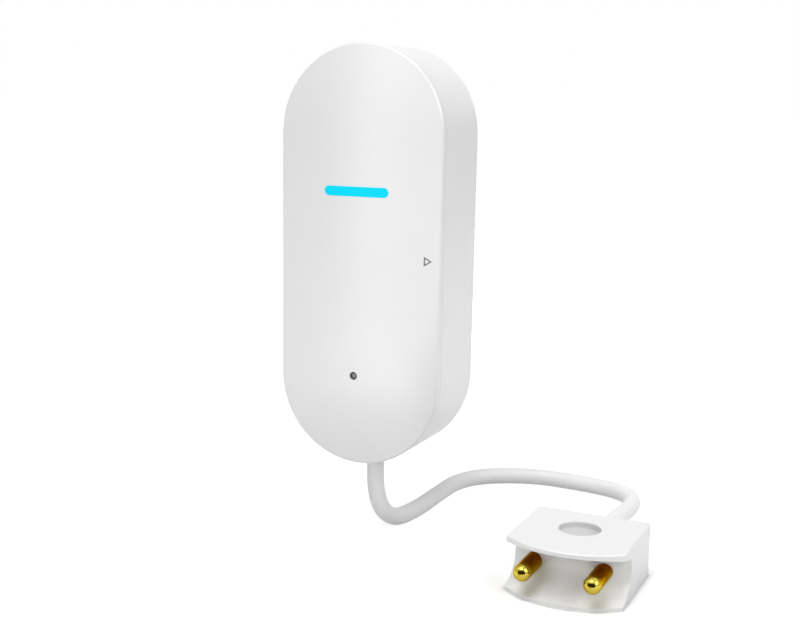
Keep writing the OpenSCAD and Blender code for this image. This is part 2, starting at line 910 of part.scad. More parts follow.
// The block before its pockets: outline, rounded top edges and scoop
module probe_block() {
    edge = probe_t - probe_round;
    difference() {
        linear_extrude(height = probe_t)
            probe_outline();
        translate([0, scoop_centre, 0])
            rotate_extrude($fn = 360)
                scoop_profile();
        translate([0, front_centre, edge])
            rotate_extrude($fn = 360)
                translate([front_r - probe_round, 0])
                    corner_waste(probe_round);
        for (s = [0, 1])
            mirror([s, 0, 0])
                translate([probe_w / 2 - probe_round, back_v + 1, edge])
                    rotate([90, 0, 0])
                        linear_extrude(height = 2 * probe_d)
                            corner_waste(probe_round);
        translate([-probe_w, back_v - probe_round, edge])
            rotate([90, 0, 90])
                linear_extrude(height = 2 * probe_w)
                    corner_waste(probe_round);
    }
}

// A rectangular pocket of the probe from height w0 to w1
module pocket(half, v0, v1, w0, w1) {
    translate([-half, v0, w0])
        cube([2 * half, v1 - v0, w1 - w0]);
}

// A round bar along Y between two places
module along_v(u, w, v0, v1, d) {
    translate([u, v1, w])
        rotate([90, 0, 0])
            cylinder(d = d, h = v1 - v0);
}

module probe_body() {
    color(WHITE)
        at_probe()
            difference() {
                probe_block();
                pocket(pocket_half, pocket_front, pocket_back, -1, plate_top);
                pocket(room_half, room_front, room_back, plate_top - eps, room_top);
                translate([0, 0, probe_t - recess_t])
                    cylinder(d = recess_d, h = recess_t + 1);
                along_v(0, bush_z, room_back - 1, back_v + 1, bush_d + 2 * plate_clear);
                for (s = [-1, 1])
                    along_v(s * pin_span / 2, pin_z, front_mid, room_front + 1, pin_d);
            }
}

module probe_base_plate() {
    color(WHITE)
        at_probe()
            pocket(pocket_half - plate_clear, pocket_front + plate_clear, pocket_back - plate_clear,
                plate_lift, plate_top);
}

// A pin with a dome tip, its shank through the scoop's wall and a thinner solder tail behind it
module probe_pin(side) {
    shank = room_front - pin_tip;
    color(GOLD)
        at_probe()
            translate([side * pin_span / 2, room_front, pin_z])
                rotate([90, 0, 0]) {
                    rotate_extrude() {
                        square([pin_d / 2, shank - pin_d / 2]);
                        translate([0, shank - pin_d / 2])
                            intersection() {
                                circle(d = pin_d);
                                square(pin_d);
                            }
                        translate([0, -tail_l])
                            square([tail_d / 2, tail_l + eps]);
                    }
                }
}

module probe_pin_left() {
    probe_pin(-1);
}

module probe_pin_right() {
    probe_pin(1);
}

module probe_bush() {
    color(WHITE)
        at_probe() {
            along_v(0, bush_z, room_back - eps, back_v, bush_d);
            along_v(0, bush_z, room_back - bush_flange_t, room_back, bush_flange_d);
        }
}

module probe_leads() {
    start = room_back - bush_flange_t;
    finish = room_front + tail_l;
    for (s = [-1, 1])
        color(s < 0 ? [0.75, 0.1, 0.1] : BLACK)
            at_probe()
                tube([
                    [s * lead_pitch / 2, start, bush_z], [s * lead_pitch / 2, start - 0.6, bush_z],
                    [s * lead_side, start - 2, bush_z], [s * pin_span / 2, finish + 2, pin_z],
                    [s * pin_span / 2, finish + 1, pin_z], [s * pin_span / 2, finish, pin_z]
                ], lead_d, 4, 8, [0, 0, 1]);
}

rear_shell();
front_cover();
light_guide();
cover_gasket();
adhesive_pad();
main_pcb();
pcb_screws();
radio_shield();
pcb_chips();
pcb_passives();
chip_antenna();
status_leds();
button_switch();
button_plunger();
battery_cell();
battery_positive_contact();
battery_spring_contact();
cable_grommet();
cable_tail();
cable_clamp();
clamp_screws();
lead_wires();
wire_header();
wire_plug();
probe_cable();
probe_body();
probe_base_plate();
probe_pin_left();
probe_pin_right();
probe_bush();
probe_leads();
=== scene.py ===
"""Looks of a water leak sensor: a wall housing, its free cable and the two-pin probe on the floor.

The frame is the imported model's: +Z up, front towards -Y, wall at y = 0. Finishes, camera and studio
are sized in metres. The cable and the sub-assemblies are sized in millimetres, which make_piece turns
into metres.
"""

import json
import logging
import math
from abc import ABC, abstractmethod
from collections.abc import Mapping, Sequence
from dataclasses import dataclass
from enum import Enum
from typing import ClassVar

import bmesh
import bpy
import numpy as np
from mathutils import Matrix, Vector

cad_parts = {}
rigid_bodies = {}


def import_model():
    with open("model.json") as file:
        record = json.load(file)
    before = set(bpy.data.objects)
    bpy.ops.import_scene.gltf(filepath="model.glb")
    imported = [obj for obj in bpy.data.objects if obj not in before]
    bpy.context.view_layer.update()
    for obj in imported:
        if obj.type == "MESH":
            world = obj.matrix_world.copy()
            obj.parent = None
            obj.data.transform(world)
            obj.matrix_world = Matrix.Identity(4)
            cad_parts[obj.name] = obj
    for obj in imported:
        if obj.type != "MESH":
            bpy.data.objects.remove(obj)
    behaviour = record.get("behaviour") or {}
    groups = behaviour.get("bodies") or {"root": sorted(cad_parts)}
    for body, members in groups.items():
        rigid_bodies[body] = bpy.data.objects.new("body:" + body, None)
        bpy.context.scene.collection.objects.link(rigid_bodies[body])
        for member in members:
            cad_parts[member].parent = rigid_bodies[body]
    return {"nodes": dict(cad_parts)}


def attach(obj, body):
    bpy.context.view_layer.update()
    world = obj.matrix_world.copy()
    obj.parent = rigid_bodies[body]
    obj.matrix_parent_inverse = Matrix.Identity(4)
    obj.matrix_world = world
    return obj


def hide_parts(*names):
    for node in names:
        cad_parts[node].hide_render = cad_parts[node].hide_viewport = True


for leftover in list(bpy.data.objects):
    bpy.data.objects.remove(leftover)
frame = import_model()

Colour = tuple[float, float, float]
Point = tuple[float, float, float]
Pair = tuple[float, float]
Chip = tuple[float, float, float, float]
Socket = bpy.types.NodeSocket

LOG = logging.getLogger("leak_sensor")
MM = 0.001
FLOOR_Z = -0.061
# Front of the circuit board, and the leads that run inside the housing and the probe, in millimetres.
BOARD_FRONT = -7.8
LEAD_DIAMETER = 1.2
LEAD_STEPS = 10
LEAD_SIDES = 20
# How deep a small piece sinks into what carries it, in millimetres.
SUNK = 0.02
DOME_SUNK = 0.05
# Range that most of a noise pattern lies in, and the two ways of a mask.
NOISE_SPAN = (0.3, 0.7)
RISE = (0.0, 1.0)
FALL = (1.0, 0.0)
CORNERS = ((-1, -1), (1, -1), (1, 1), (-1, 1))
BOTH_SIDES = (-1, 1)


class Space(Enum):
    """Coordinates that a pattern reads."""

    OBJECT = "Object"
    SURFACE = "UV"


class Cells(Enum):
    """Distances that a pattern of random cells gives."""

    MIDDLE = "F1"
    EDGE = "DISTANCE_TO_EDGE"


class Axis(Enum):
    """Directions of a turned piece, each with the two directions square to it."""

    FRONT = ((1.0, 0.0, 0.0), (0.0, 0.0, 1.0), (0.0, -1.0, 0.0))
    UP = ((1.0, 0.0, 0.0), (0.0, 1.0, 0.0), (0.0, 0.0, 1.0))


class Body(Enum):
    """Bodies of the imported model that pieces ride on."""

    HOUSING = "housing"
    COVER = "front_cover"
    BUTTON = "pairing_button"


def linear(red: int, green: int, blue: int) -> Colour:
    """Turn a colour of 0 to 255 as seen on a screen into the linear values that shaders take.

    Args:
        red, green, blue: Screen values from 0 to 255.

    Returns:
        The three linear values, by the sRGB formula.
    """
    screen = np.array([red, green, blue], float) / 255
    low = screen / 12.92
    high = ((screen + 0.055) / 1.055) ** 2.4
    values = np.where(screen <= 0.04045, low, high)
    return tuple(float(v) for v in values)


def shaded(colour: Colour, share: float) -> Colour:
    """Give a share of a colour."""
    return tuple(share * c for c in colour)


class NodeSheet:
    """Node tree of a material or of the world, with short calls for the nodes that finishes share."""

    def __init__(self, owner: bpy.types.Material | bpy.types.World) -> None:
        """Clear the owner's tree and give it an output.

        Args:
            owner: Material or world whose nodes are laid.
        """
        owner.use_nodes = True
        self.tree = owner.node_tree
        self.tree.nodes.clear()
        self.output = self.node("OutputWorld" if isinstance(owner, bpy.types.World) else "OutputMaterial")
        self.shader = None

    def node(
        self, kind: str, inputs: Mapping[str | int, object] | None = None, **settings: object
    ) -> bpy.types.Node:
        """Add a node, set its properties and feed its inputs.

        Args:
            kind: Blender's name of the node, without its prefix.
            inputs: Sockets or plain values, by the names or numbers of the inputs.
            settings: Properties of the node.

        Returns:
            The new node.
        """
        made = self.tree.nodes.new("ShaderNode" + kind)
        for key, value in settings.items():
            setattr(made, key, value)
        for key, value in (inputs or {}).items():
            self.feed(made.inputs[key], value)
        return made

    def feed(self, socket: Socket, value: object) -> None:
        """Link a socket into another, or set a plain value on it.

        Args:
            socket: Input that is fed.
            value: Socket or plain value.
        """
        if isinstance(value, bpy.types.NodeSocket):
            self.tree.links.new(value, socket)
        else:
            socket.default_value = value

    def show(self, shader: bpy.types.Node) -> None:
        """Link a shader into the output."""
        self.feed(self.output.inputs["Surface"], shader.outputs[0])

    def principled(self) -> None:
        """Add the Principled shader that finishes are laid on, and show it."""
        self.shader = self.node("BsdfPrincipled")
        self.show(self.shader)

    def constants(self, **values: object) -> None:
        """Set plain values on the Principled shader; an underscore stands for a space."""
        for key, value in values.items():
            self.shader.inputs[key.replace("_", " ")].default_value = value

    def into(self, name: str, source: Socket) -> None:
        """Link a pattern into one of the Principled shader's sockets."""
        self.feed(self.shader.inputs[name], source)

    def coords(
        self,
        space: Space = Space.OBJECT,
        centre: Point = (0.0, 0.0, 0.0),
        stretch: Point = (1.0, 1.0, 1.0),
    ) -> Socket:
        """Give the coordinates of a pattern, moved to a centre and stretched.

        Args:
            space: Object coordinates or the piece's own surface map.
            centre: Point that becomes the pattern's origin.
            stretch: Size of one unit of the pattern along each axis.

        Returns:
            The vector socket.
        """
        source = self.node("TexCoord").outputs[space.value]
        inputs = {"Vector": source, "Location": centre, "Scale": stretch}
        return self.node("Mapping", inputs, vector_type="TEXTURE").outputs["Vector"]

    def split(self, vector: Socket) -> tuple[Socket, Socket, Socket]:
        """Give the three parts of a vector."""
        parts = self.node("SeparateXYZ", {"Vector": vector}).outputs
        return parts["X"], parts["Y"], parts["Z"]

    def facing(self) -> tuple[Socket, Socket, Socket]:
        """Give the three parts of the surface's normal."""
        return self.split(self.node("TexCoord").outputs["Normal"])

    def maths(self, operation: str, first: object, second: object = 0.0) -> Socket:
        """Give a sum, product or other simple operation of two values."""
        return self.node("Math", {0: first, 1: second}, operation=operation).outputs[0]

    def radius(self, x: Socket, y: Socket) -> Socket:
        """Give the distance from the axis of a pattern: sqrt(x^2 + y^2)."""
        square = self.maths("ADD", self.maths("MULTIPLY", x, x), self.maths("MULTIPLY", y, y))
        return self.maths("SQRT", square)

    def noise(self, vector: Socket, size: float, detail: float = 3.0, rough: float = 0.5) -> Socket:
        """Give soft noise whose patches are about the given size across."""
        inputs = {"Vector": vector, "Scale": 1.0 / size, "Detail": detail, "Roughness": rough}
        return self.node("TexNoise", inputs).outputs[0]

    def cells(
        self, vector: Socket, size: float, kind: Cells = Cells.MIDDLE, scatter: float = 1.0
    ) -> Socket:
        """Give the distance pattern of random cells about the given size across."""
        inputs = {"Vector": vector, "Scale": 1.0 / size, "Randomness": scatter}
        return self.node("TexVoronoi", inputs, feature=kind.value).outputs["Distance"]

    def ranged(self, value: Socket, span: Pair, to: Pair) -> Socket:
        """Map a value's span linearly to another range, held at its ends."""
        ends = {"From Min": span[0], "From Max": span[1], "To Min": to[0], "To Max": to[1]}
        return self.node("MapRange", {"Value": value, **ends}, clamp=True).outputs["Result"]

    def ramp(self, value: Socket, stops: Sequence[tuple[float, Colour]]) -> Socket:
        """Give the colour of a ramp at a value.

        Args:
            value: Place on the ramp, from 0 to 1.
            stops: Places with their colours, two or more.

        Returns:
            The colour socket.
        """
        node = self.node("ValToRGB", {"Fac": value})
        elements = node.color_ramp.elements
        while len(elements) < len(stops):
            elements.new(0.5)
        for element, (place, colour) in zip(elements, stops):
            element.position = place
            element.color = (*colour, 1.0)
        return node.outputs["Color"]

    def mottled(self, pattern: Socket, colour: Colour, dark: float, span: Pair = NOISE_SPAN) -> Socket:
        """Give a colour that a pattern darkens, down to a share of itself at the span's low end."""
        return self.ramp(pattern, [(span[0], shaded(colour, dark)), (span[1], colour)])

    def mix(self, share: object, first: object, second: object) -> Socket:
        """Give a blend of two colours.

        Args:
            share: Share of the second colour, as a socket or a number.
            first, second: Colours, as sockets or plain values.

        Returns:
            The colour socket.
        """
        node = self.node("Mix", {"Factor": share}, data_type="RGBA")
        colours = [socket for socket in node.inputs if socket.type == "RGBA"]
        for socket, value in zip(colours, (first, second)):
            self.feed(socket, value if isinstance(value, bpy.types.NodeSocket) else (*value, 1.0))
        return next(socket for socket in node.outputs if socket.type == "RGBA")

    def gloss(self, pattern: Socket, low: float, high: float, span: Pair = NOISE_SPAN) -> None:
        """Let a pattern vary the roughness between two values."""
        self.into("Roughness", self.ranged(pattern, span, (low, high)))

    def bump(self, height: Socket, depth: float, strength: float = 1.0) -> None:
        """Raise the surface's shading by a height pattern of the given depth."""
        node = self.node("Bump", {"Strength": strength, "Distance": depth, "Height": height})
        self.into("Normal", node.outputs["Normal"])


@dataclass(frozen=True)
class PocketShade:
    """Painted shade in a round pocket of a moulding: its floor and wall are darkened below the faces outside,
    where shade falls.
    """

    centre: Point
    radius: float
    tone: float
    edge: float = 0.1 * MM
    mouth: Pair = (-0.35 * MM, -0.05 * MM)

    def share(self, sheet: NodeSheet) -> Socket:
        """Give 1 inside the pocket, under its mouth, and 0 elsewhere.

        Args:
            sheet: Node sheet of the moulding's material.

        Returns:
            The value socket.
        """
        x, y, z = sheet.split(sheet.coords(centre=self.centre))
        inside = sheet.ranged(sheet.radius(x, y), (self.radius, self.radius + self.edge), FALL)
        return sheet.maths("MULTIPLY", inside, sheet.ranged(z, self.mouth, FALL))


@dataclass(frozen=True)
class Finish(ABC):
    """Finish of a piece: a name and a main colour, with a pattern of its own kind."""

    name: str
    colour: Colour

    @abstractmethod
    def lay(self, sheet: NodeSheet) -> None:
        """Lay the finish's pattern on the Principled shader of a sheet."""

    def material(self) -> bpy.types.Material:
        """Build the material.

        Returns:
            The new material.
        """
        made = bpy.data.materials.new(self.name)
        sheet = NodeSheet(made)
        sheet.principled()
        self.lay(sheet)
        return made


@dataclass(frozen=True)
class MouldedPlastic(Finish):
    """Injection-moulded plastic with a fine spark-eroded grain and slow clouds in its gloss."""

    roughness: float = 0.3
    spread: float = 0.02
    grain: float = 0.16 * MM
    depth: float = 0.0004 * MM
    cloud: float = 0.008
    # Painted shade that darkens the colour inside a pocket, where one is given.
    pocket_shade: PocketShade | None = None

    def lay(self, sheet: NodeSheet) -> None:
        """Lay a clouded colour, varied gloss, a fine grain and painted shade in a pocket.

        Args:
            sheet: Node sheet of the material.
        """
        place = sheet.coords()
        clouds = sheet.noise(place, size=14 * MM, detail=2.0)
        tone = sheet.mottled(clouds, self.colour, dark=1.0 - 2.0 * self.cloud)
        # Painted shade: inside the pocket the colour falls to a share of itself.
        if self.pocket_shade is not None:
            tone = sheet.mix(self.pocket_shade.share(sheet), tone, shaded(self.colour, self.pocket_shade.tone))
        sheet.into("Base Color", tone)
        patches = sheet.noise(place, size=2.4 * MM, detail=4.0)
        sheet.gloss(patches, self.roughness - self.spread, self.roughness + self.spread)
        sheet.bump(sheet.noise(place, size=self.grain, detail=2.0), self.depth)
        sheet.constants(IOR=1.5, Specular_IOR_Level=1.0)


@dataclass(frozen=True)
class LitGuide(Finish):
    """Tinted light guide with lamps behind both of its ends."""

    glow: float = 0.5
    half_width: float = 7.1 * MM
    height: float = 13.6 * MM
    end_level: float = 0.9
    milk_level: float = 0.96
    dim: float = 0.8
    depth_share: float = 0.45

    def lay(self, sheet: NodeSheet) -> None:
        """Lay a tinted body, a glow that is almost even along the bar, and a polished face.

        Args:
            sheet: Node sheet of the material.
        """
        place = sheet.coords(centre=(0.0, 0.0, self.height))
        reach = sheet.maths("ABSOLUTE", sheet.split(place)[0])
        even = sheet.ranged(reach, (0.0, self.half_width), (1.0, self.end_level))
        milk = sheet.ranged(sheet.noise(place, size=0.5 * MM), NOISE_SPAN, (self.milk_level, 1.0))
        level = sheet.maths("MULTIPLY", even, milk)
        tint = sheet.mix(level, shaded(self.colour, self.dim), self.colour)
        sheet.into("Base Color", sheet.mix(self.depth_share, tint, (0.0, 0.0, 0.0)))
        sheet.into("Emission Color", tint)
        sheet.constants(Emission_Strength=self.glow, Roughness=0.4, IOR=1.49, Specular_IOR_Level=0.1)


@dataclass(frozen=True)
class GoldPlate(Finish):
    """Polished gold plate, with fine turning lines and a painted dark reflection on the upper side behind the
    tip.
    """

    painted_reflection_colour: Colour
    roughness: float = 0.09
    spread: float = 0.03
    tip: Pair = (-32.2 * MM, -30.8 * MM)
    ragged: float = 0.25 * MM
    upper: Pair = (-0.2, 0.6)
    turning: Point = (4.0, 0.25, 4.0)
    tint: Colour = (0.8, 0.6, 0.3)

    def lay(self, sheet: NodeSheet) -> None:
        """Lay metal whose painted dark reflection grows behind the tip, most on its upper side.

        Args:
            sheet: Node sheet of the material.
        """
        place = sheet.coords()
        ragged_noise = sheet.noise(place, size=1.0 * MM)
        shift = sheet.ranged(ragged_noise, NOISE_SPAN, (-self.ragged, self.ragged))
        edge = sheet.maths("ADD", sheet.split(place)[1], shift)
        behind = sheet.ranged(edge, self.tip, RISE)
        # Painted reflection: the upper side is darkened towards a brown that stands in for dark surroundings
        # seen in the gold.
        upper = sheet.ranged(sheet.facing()[2], self.upper, RISE)
        painted_reflection_share = sheet.maths("MULTIPLY", behind, upper)
        sheet.into("Base Color", sheet.mix(painted_reflection_share, self.colour, self.painted_reflection_colour))
        lines = sheet.noise(sheet.coords(stretch=self.turning), size=0.3 * MM, detail=2.0)
        sheet.gloss(lines, self.roughness - self.spread, self.roughness + self.spread)
        sheet.constants(Metallic=1.0, Specular_Tint=(*self.tint, 1.0))


@dataclass(frozen=True)
class CableSheath(Finish):
    """Extruded soft sheath, with faint draw lines along it."""

    roughness: float = 0.42
    spread: float = 0.04
    drawn: Point = (4.0, 0.1, 1.0)

    def lay(self, sheet: NodeSheet) -> None:
        """Lay lines and clouds on the tube's own map: u runs along it and v round it.

        Args:
            sheet: Node sheet of the material.
        """
        lines = sheet.noise(sheet.coords(Space.SURFACE, stretch=self.drawn), size=0.12)
        clouds = sheet.noise(sheet.coords(Space.SURFACE), size=0.5, detail=2.0)
        sheet.into("Base Color", sheet.mottled(clouds, self.colour, dark=0.97))
        sheet.gloss(lines, self.roughness - self.spread, self.roughness + self.spread)
        sheet.bump(lines, depth=0.01 * MM, strength=0.5)
        sheet.constants(IOR=1.48)


@dataclass(frozen=True)
class BrushedMetal(Finish):
    """Sheet metal with drawn lines along one axis and a few dull patches."""

    roughness: float = 0.28
    lines: Point = (8.0, 0.4, 0.4)
    spread: Pair = (0.08, 0.1)

    def lay(self, sheet: NodeSheet) -> None:
        """Lay stretched noise for the lines and slow noise for the dull patches.

        Args:
            sheet: Node sheet of the material.
        """
        drawn = sheet.noise(sheet.coords(stretch=self.lines), size=0.12 * MM, detail=4.0, rough=0.6)
        patches = sheet.noise(sheet.coords(), size=2.5 * MM)
        sheet.into("Base Color", sheet.mottled(patches, self.colour, dark=0.86))
        sheet.gloss(drawn, self.roughness - self.spread[0], self.roughness + self.spread[1])
        sheet.bump(drawn, depth=0.003 * MM, strength=0.6)
        sheet.constants(Metallic=1.0)


@dataclass(frozen=True)
class SolderResist(Finish):
    """Circuit board: resist with tracks under it, tinned vias and bare glass-fibre edges."""

    track: Colour
    tin: Colour = (0.62, 0.63, 0.64)
    fibre: Colour = (0.55, 0.45, 0.24)
    pitch: float = 2.6 * MM
    scatter: float = 0.35
    track_edge: Pair = (0.035, 0.055)
    via_edge: Pair = (0.085, 0.1)
    through: Point = (1.0, 40.0, 1.0)

    def lay(self, sheet: NodeSheet) -> None:
        """Lay cell edges for tracks and dots for vias, and tell the board's edges by the normal.

        Args:
            sheet: Node sheet of the material.
        """
        place = sheet.coords(stretch=self.through)
        edges = sheet.cells(place, self.pitch, Cells.EDGE, self.scatter)
        line = sheet.ranged(edges, self.track_edge, FALL)
        via = sheet.ranged(sheet.cells(place, self.pitch), self.via_edge, FALL)
        clouds = sheet.noise(sheet.coords(), size=3.0 * MM)
        tracked = sheet.mix(line, sheet.mottled(clouds, self.colour, dark=0.8), self.track)
        dotted = sheet.mix(via, tracked, self.tin)
        flat = sheet.ranged(sheet.maths("ABSOLUTE", sheet.facing()[1]), (0.4, 0.6), RISE)
        sheet.into("Base Color", sheet.mix(flat, self.fibre, dotted))
        sheet.into("Metallic", sheet.maths("MULTIPLY", via, flat))
        sheet.gloss(flat, 0.8, 0.34, span=RISE)
        raised = sheet.maths("MULTIPLY", sheet.maths("ADD", line, via), flat)
        sheet.bump(raised, depth=0.035 * MM, strength=0.8)


@dataclass(frozen=True)
class FoamTape(Finish):
    """Closed-cell foam tape: pale, soft and pitted with small cells."""

    cell: float = 0.32 * MM
    pit: Pair = (0.05, 0.45)

    def lay(self, sheet: NodeSheet) -> None:
        """Lay random cells for pits, darkened in the pits as painted shade, with fine noise between them.

        Args:
            sheet: Node sheet of the material.
        """
        place = sheet.coords()
        pits = sheet.cells(place, self.cell)
        # Painted shade: the colour darkens in the pits.
        sheet.into("Base Color", sheet.mottled(pits, self.colour, dark=0.72, span=self.pit))
        sheet.gloss(sheet.noise(place, size=0.08 * MM), 0.8, 0.95)
        sheet.bump(pits, depth=0.05 * MM, strength=0.8)


@dataclass(frozen=True)
class ShrinkSleeve(Finish):
    """Shrunk sleeve of a cell: one colour, a plain pale band and creases near its ends."""

    band: Colour
    band_at: Pair = (3.2 * MM, 4.6 * MM)
    band_soft: float = 0.04 * MM
    middle: float = -5.2 * MM
    half: float = 12.2 * MM
    creased: float = 3.0 * MM
    creases: Point = (1.0, 1.0, 5.0)
    clouded: Pair = (0.2, 0.8)

    def lay(self, sheet: NodeSheet) -> None:
        """Lay a band by height, and creases that grow towards both ends.

        Args:
            sheet: Node sheet of the material.
        """
        place = sheet.coords()
        height = sheet.split(place)[2]
        low, high = self.band_at
        over = sheet.ranged(height, (low - self.band_soft, low + self.band_soft), RISE)
        under = sheet.ranged(height, (high - self.band_soft, high + self.band_soft), FALL)
        clouds = sheet.noise(place, size=9.0 * MM, detail=1.0)
        film = sheet.mottled(clouds, self.colour, dark=0.96, span=self.clouded)
        sheet.into("Base Color", sheet.mix(sheet.maths("MULTIPLY", over, under), film, self.band))
        reach = sheet.maths("ABSOLUTE", sheet.maths("SUBTRACT", height, self.middle))
        ends = sheet.ranged(reach, (self.half - self.creased, self.half), RISE)
        creases = sheet.noise(sheet.coords(stretch=self.creases), size=0.7 * MM)
        sheet.gloss(clouds, 0.28, 0.3, span=self.clouded)
        sheet.bump(sheet.maths("MULTIPLY", creases, ends), depth=0.16 * MM, strength=0.7)
        sheet.constants(IOR=1.52)


@dataclass(frozen=True)
class PlainGrain(Finish):
    """Finish of a small piece: one colour with mottled tone and gloss and a fine grain."""

    roughness: float = 0.5
    metallic: float = 0.0
    grain: float = 0.15 * MM
    depth: float = 0.004 * MM
    vary: float = 0.1
    spread: float = 0.05

    def lay(self, sheet: NodeSheet) -> None:
        """Lay mottled colour, mottled gloss and a fine grain.

        Args:
            sheet: Node sheet of the material.
        """
        place = sheet.coords()
        patches = sheet.noise(place, size=1.6 * MM, detail=4.0)
        sheet.into("Base Color", sheet.mottled(patches, self.colour, dark=1.0 - self.vary))
        fine = sheet.noise(place, size=self.grain)
        sheet.gloss(fine, self.roughness - self.spread, self.roughness + self.spread)
        sheet.bump(fine, self.depth)
        sheet.constants(Metallic=self.metallic)


WHITE = (0.84, 0.84, 0.84)
WHITE_SHELL = MouldedPlastic("white_shell_satin", WHITE)
# Painted shade: the probe's top pocket keeps 0.72 of the white, where shade falls in it.
TOP_POCKET_SHADE = PocketShade((48.0 * MM, -17.7 * MM, -50.0 * MM), radius=4.2 * MM, tone=0.72)
PROBE_WHITE = MouldedPlastic("probe_white_satin", WHITE, roughness=0.36, pocket_shade=TOP_POCKET_SHADE)
CYAN_GUIDE = LitGuide("cyan_guide", linear(0, 226, 255))
WHITE_SHEATH = CableSheath("white_sheath", (0.95, 0.95, 0.95))
# Gold, and the brown of the painted dark reflection on the pins' upper sides.
PIN_GOLD = GoldPlate("pin_gold", linear(186, 165, 66), linear(134, 72, 12))
# Painted shade for the engraved mark's groove.
MARK_GROOVE_SHADE = PlainGrain("mark_groove_shade", linear(150, 150, 152), 0.55, depth=0.002 * MM)
SEAL_RUBBER = PlainGrain("seal_rubber", (0.1, 0.105, 0.115), 0.7, grain=0.1 * MM, depth=0.01 * MM)
WHITE_RUBBER = PlainGrain("white_rubber", (0.78, 0.78, 0.78), 0.6, depth=0.006 * MM, vary=0.05)
PAD_FOAM = FoamTape("pad_foam", (0.8, 0.8, 0.785))
BOARD_GREEN = SolderResist("board_green", (0.012, 0.13, 0.055), (0.03, 0.2, 0.09))
STEEL_SHEET = BrushedMetal("steel_sheet", (0.66, 0.67, 0.69))
STEEL_SCREW = BrushedMetal("steel_screw", (0.6, 0.61, 0.62), 0.3, (0.5, 2.0, 0.5))
TIN = PlainGrain("tin_plate", (0.68, 0.69, 0.7), 0.32, 1.0, depth=0.006 * MM)
CHIP_EPOXY = PlainGrain(
    "chip_epoxy", (0.02, 0.02, 0.022), 0.48, grain=0.06 * MM, depth=0.006 * MM, vary=0.25
)
CERAMIC_TAN = PlainGrain("ceramic_tan", (0.34, 0.21, 0.11), 0.5, vary=0.25)
GLAZED_WHITE = PlainGrain("glazed_white", (0.75, 0.73, 0.66), 0.22, depth=0.002 * MM, vary=0.06)
LED_WHITE = PlainGrain("led_white", (0.8, 0.8, 0.78), 0.35, vary=0.04)
LED_PHOSPHOR = PlainGrain("led_phosphor", (0.82, 0.66, 0.1), 0.18, vary=0.12)
PLUNGER_GREY = PlainGrain("plunger_grey", (0.055, 0.055, 0.06), 0.45, vary=0.15)
CAP_GREY = PlainGrain("cap_grey", linear(176, 176, 178), 0.4, vary=0.06)
# Painted shade: the dark grey of the ring in the pin-hole's mouth.
HOLE_SHADE = PlainGrain("hole_painted_shade", linear(78, 78, 80), 0.6)
CELL_BLUE = ShrinkSleeve("cell_blue", (0.03, 0.12, 0.32), (0.66, 0.68, 0.7))
NYLON = PlainGrain("nylon_natural", (0.78, 0.75, 0.64), 0.42, vary=0.06)
WIRE_RED = PlainGrain("wire_red", (0.42, 0.015, 0.015), 0.38, vary=0.12)
WIRE_BLACK = PlainGrain("wire_black", (0.02, 0.02, 0.021), 0.38, vary=0.2)


def dress(piece: bpy.types.Object, finish: Finish) -> None:
    """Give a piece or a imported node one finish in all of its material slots.

    Args:
        piece: Object to dress.
        finish: Finish whose material it gets; the material is made once and shared.
    """
    made = bpy.data.materials.get(finish.name) or finish.material()
    piece.data.materials.clear()
    piece.data.materials.append(made)
    LOG.info("%s: %s", piece.name, finish.name)


def add_object(name: str, data: bpy.types.ID) -> bpy.types.Object:
    """Make an object of a mesh, a lamp or a camera and put it into the scene.

    Args:
        name: Name of the object.
        data: What it shows.

    Returns:
        The new object.
    """
    made = bpy.data.objects.new(name, data)
    bpy.context.scene.collection.objects.link(made)
    return made


def grid_faces(rows: int, columns: int, round_rows: bool, round_columns: bool) -> np.ndarray:
    """Number the corners of the four-sided faces of a grid of points.

    Args:
        rows, columns: Number of points each way.
        round_rows, round_columns: Whether the last row or column joins the first.

    Returns:
        An array of faces by four corners.
    """
    down = np.arange(rows if round_rows else rows - 1)
    across = np.arange(columns if round_columns else columns - 1)
    i, j = np.meshgrid(down, across, indexing="ij")
    below = (i + 1) % rows
    beside = (j + 1) % columns
    corners = [i * columns + j, i * columns + beside, below * columns + beside, below * columns + j]
    return np.stack([c.ravel() for c in corners], axis=1)


def tidy_mesh(mesh: bpy.types.Mesh, crease: float) -> None:
    """Close a mesh's seams and poles, turn its faces outward and keep edges sharper than a crease.

    Args:
        mesh: Mesh to tidy.
        crease: Angle in degrees above which an edge stays sharp.
    """
    work = bmesh.new()
    work.from_mesh(mesh)
    bmesh.ops.remove_doubles(work, verts=work.verts, dist=1e-7)
    bmesh.ops.recalc_face_normals(work, faces=work.faces)
    work.to_mesh(mesh)
    work.free()
    mesh.polygons.foreach_set("use_smooth", np.ones(len(mesh.polygons), bool))
    mesh.set_sharp_from_angle(angle=math.radians(crease))
    mesh.update()


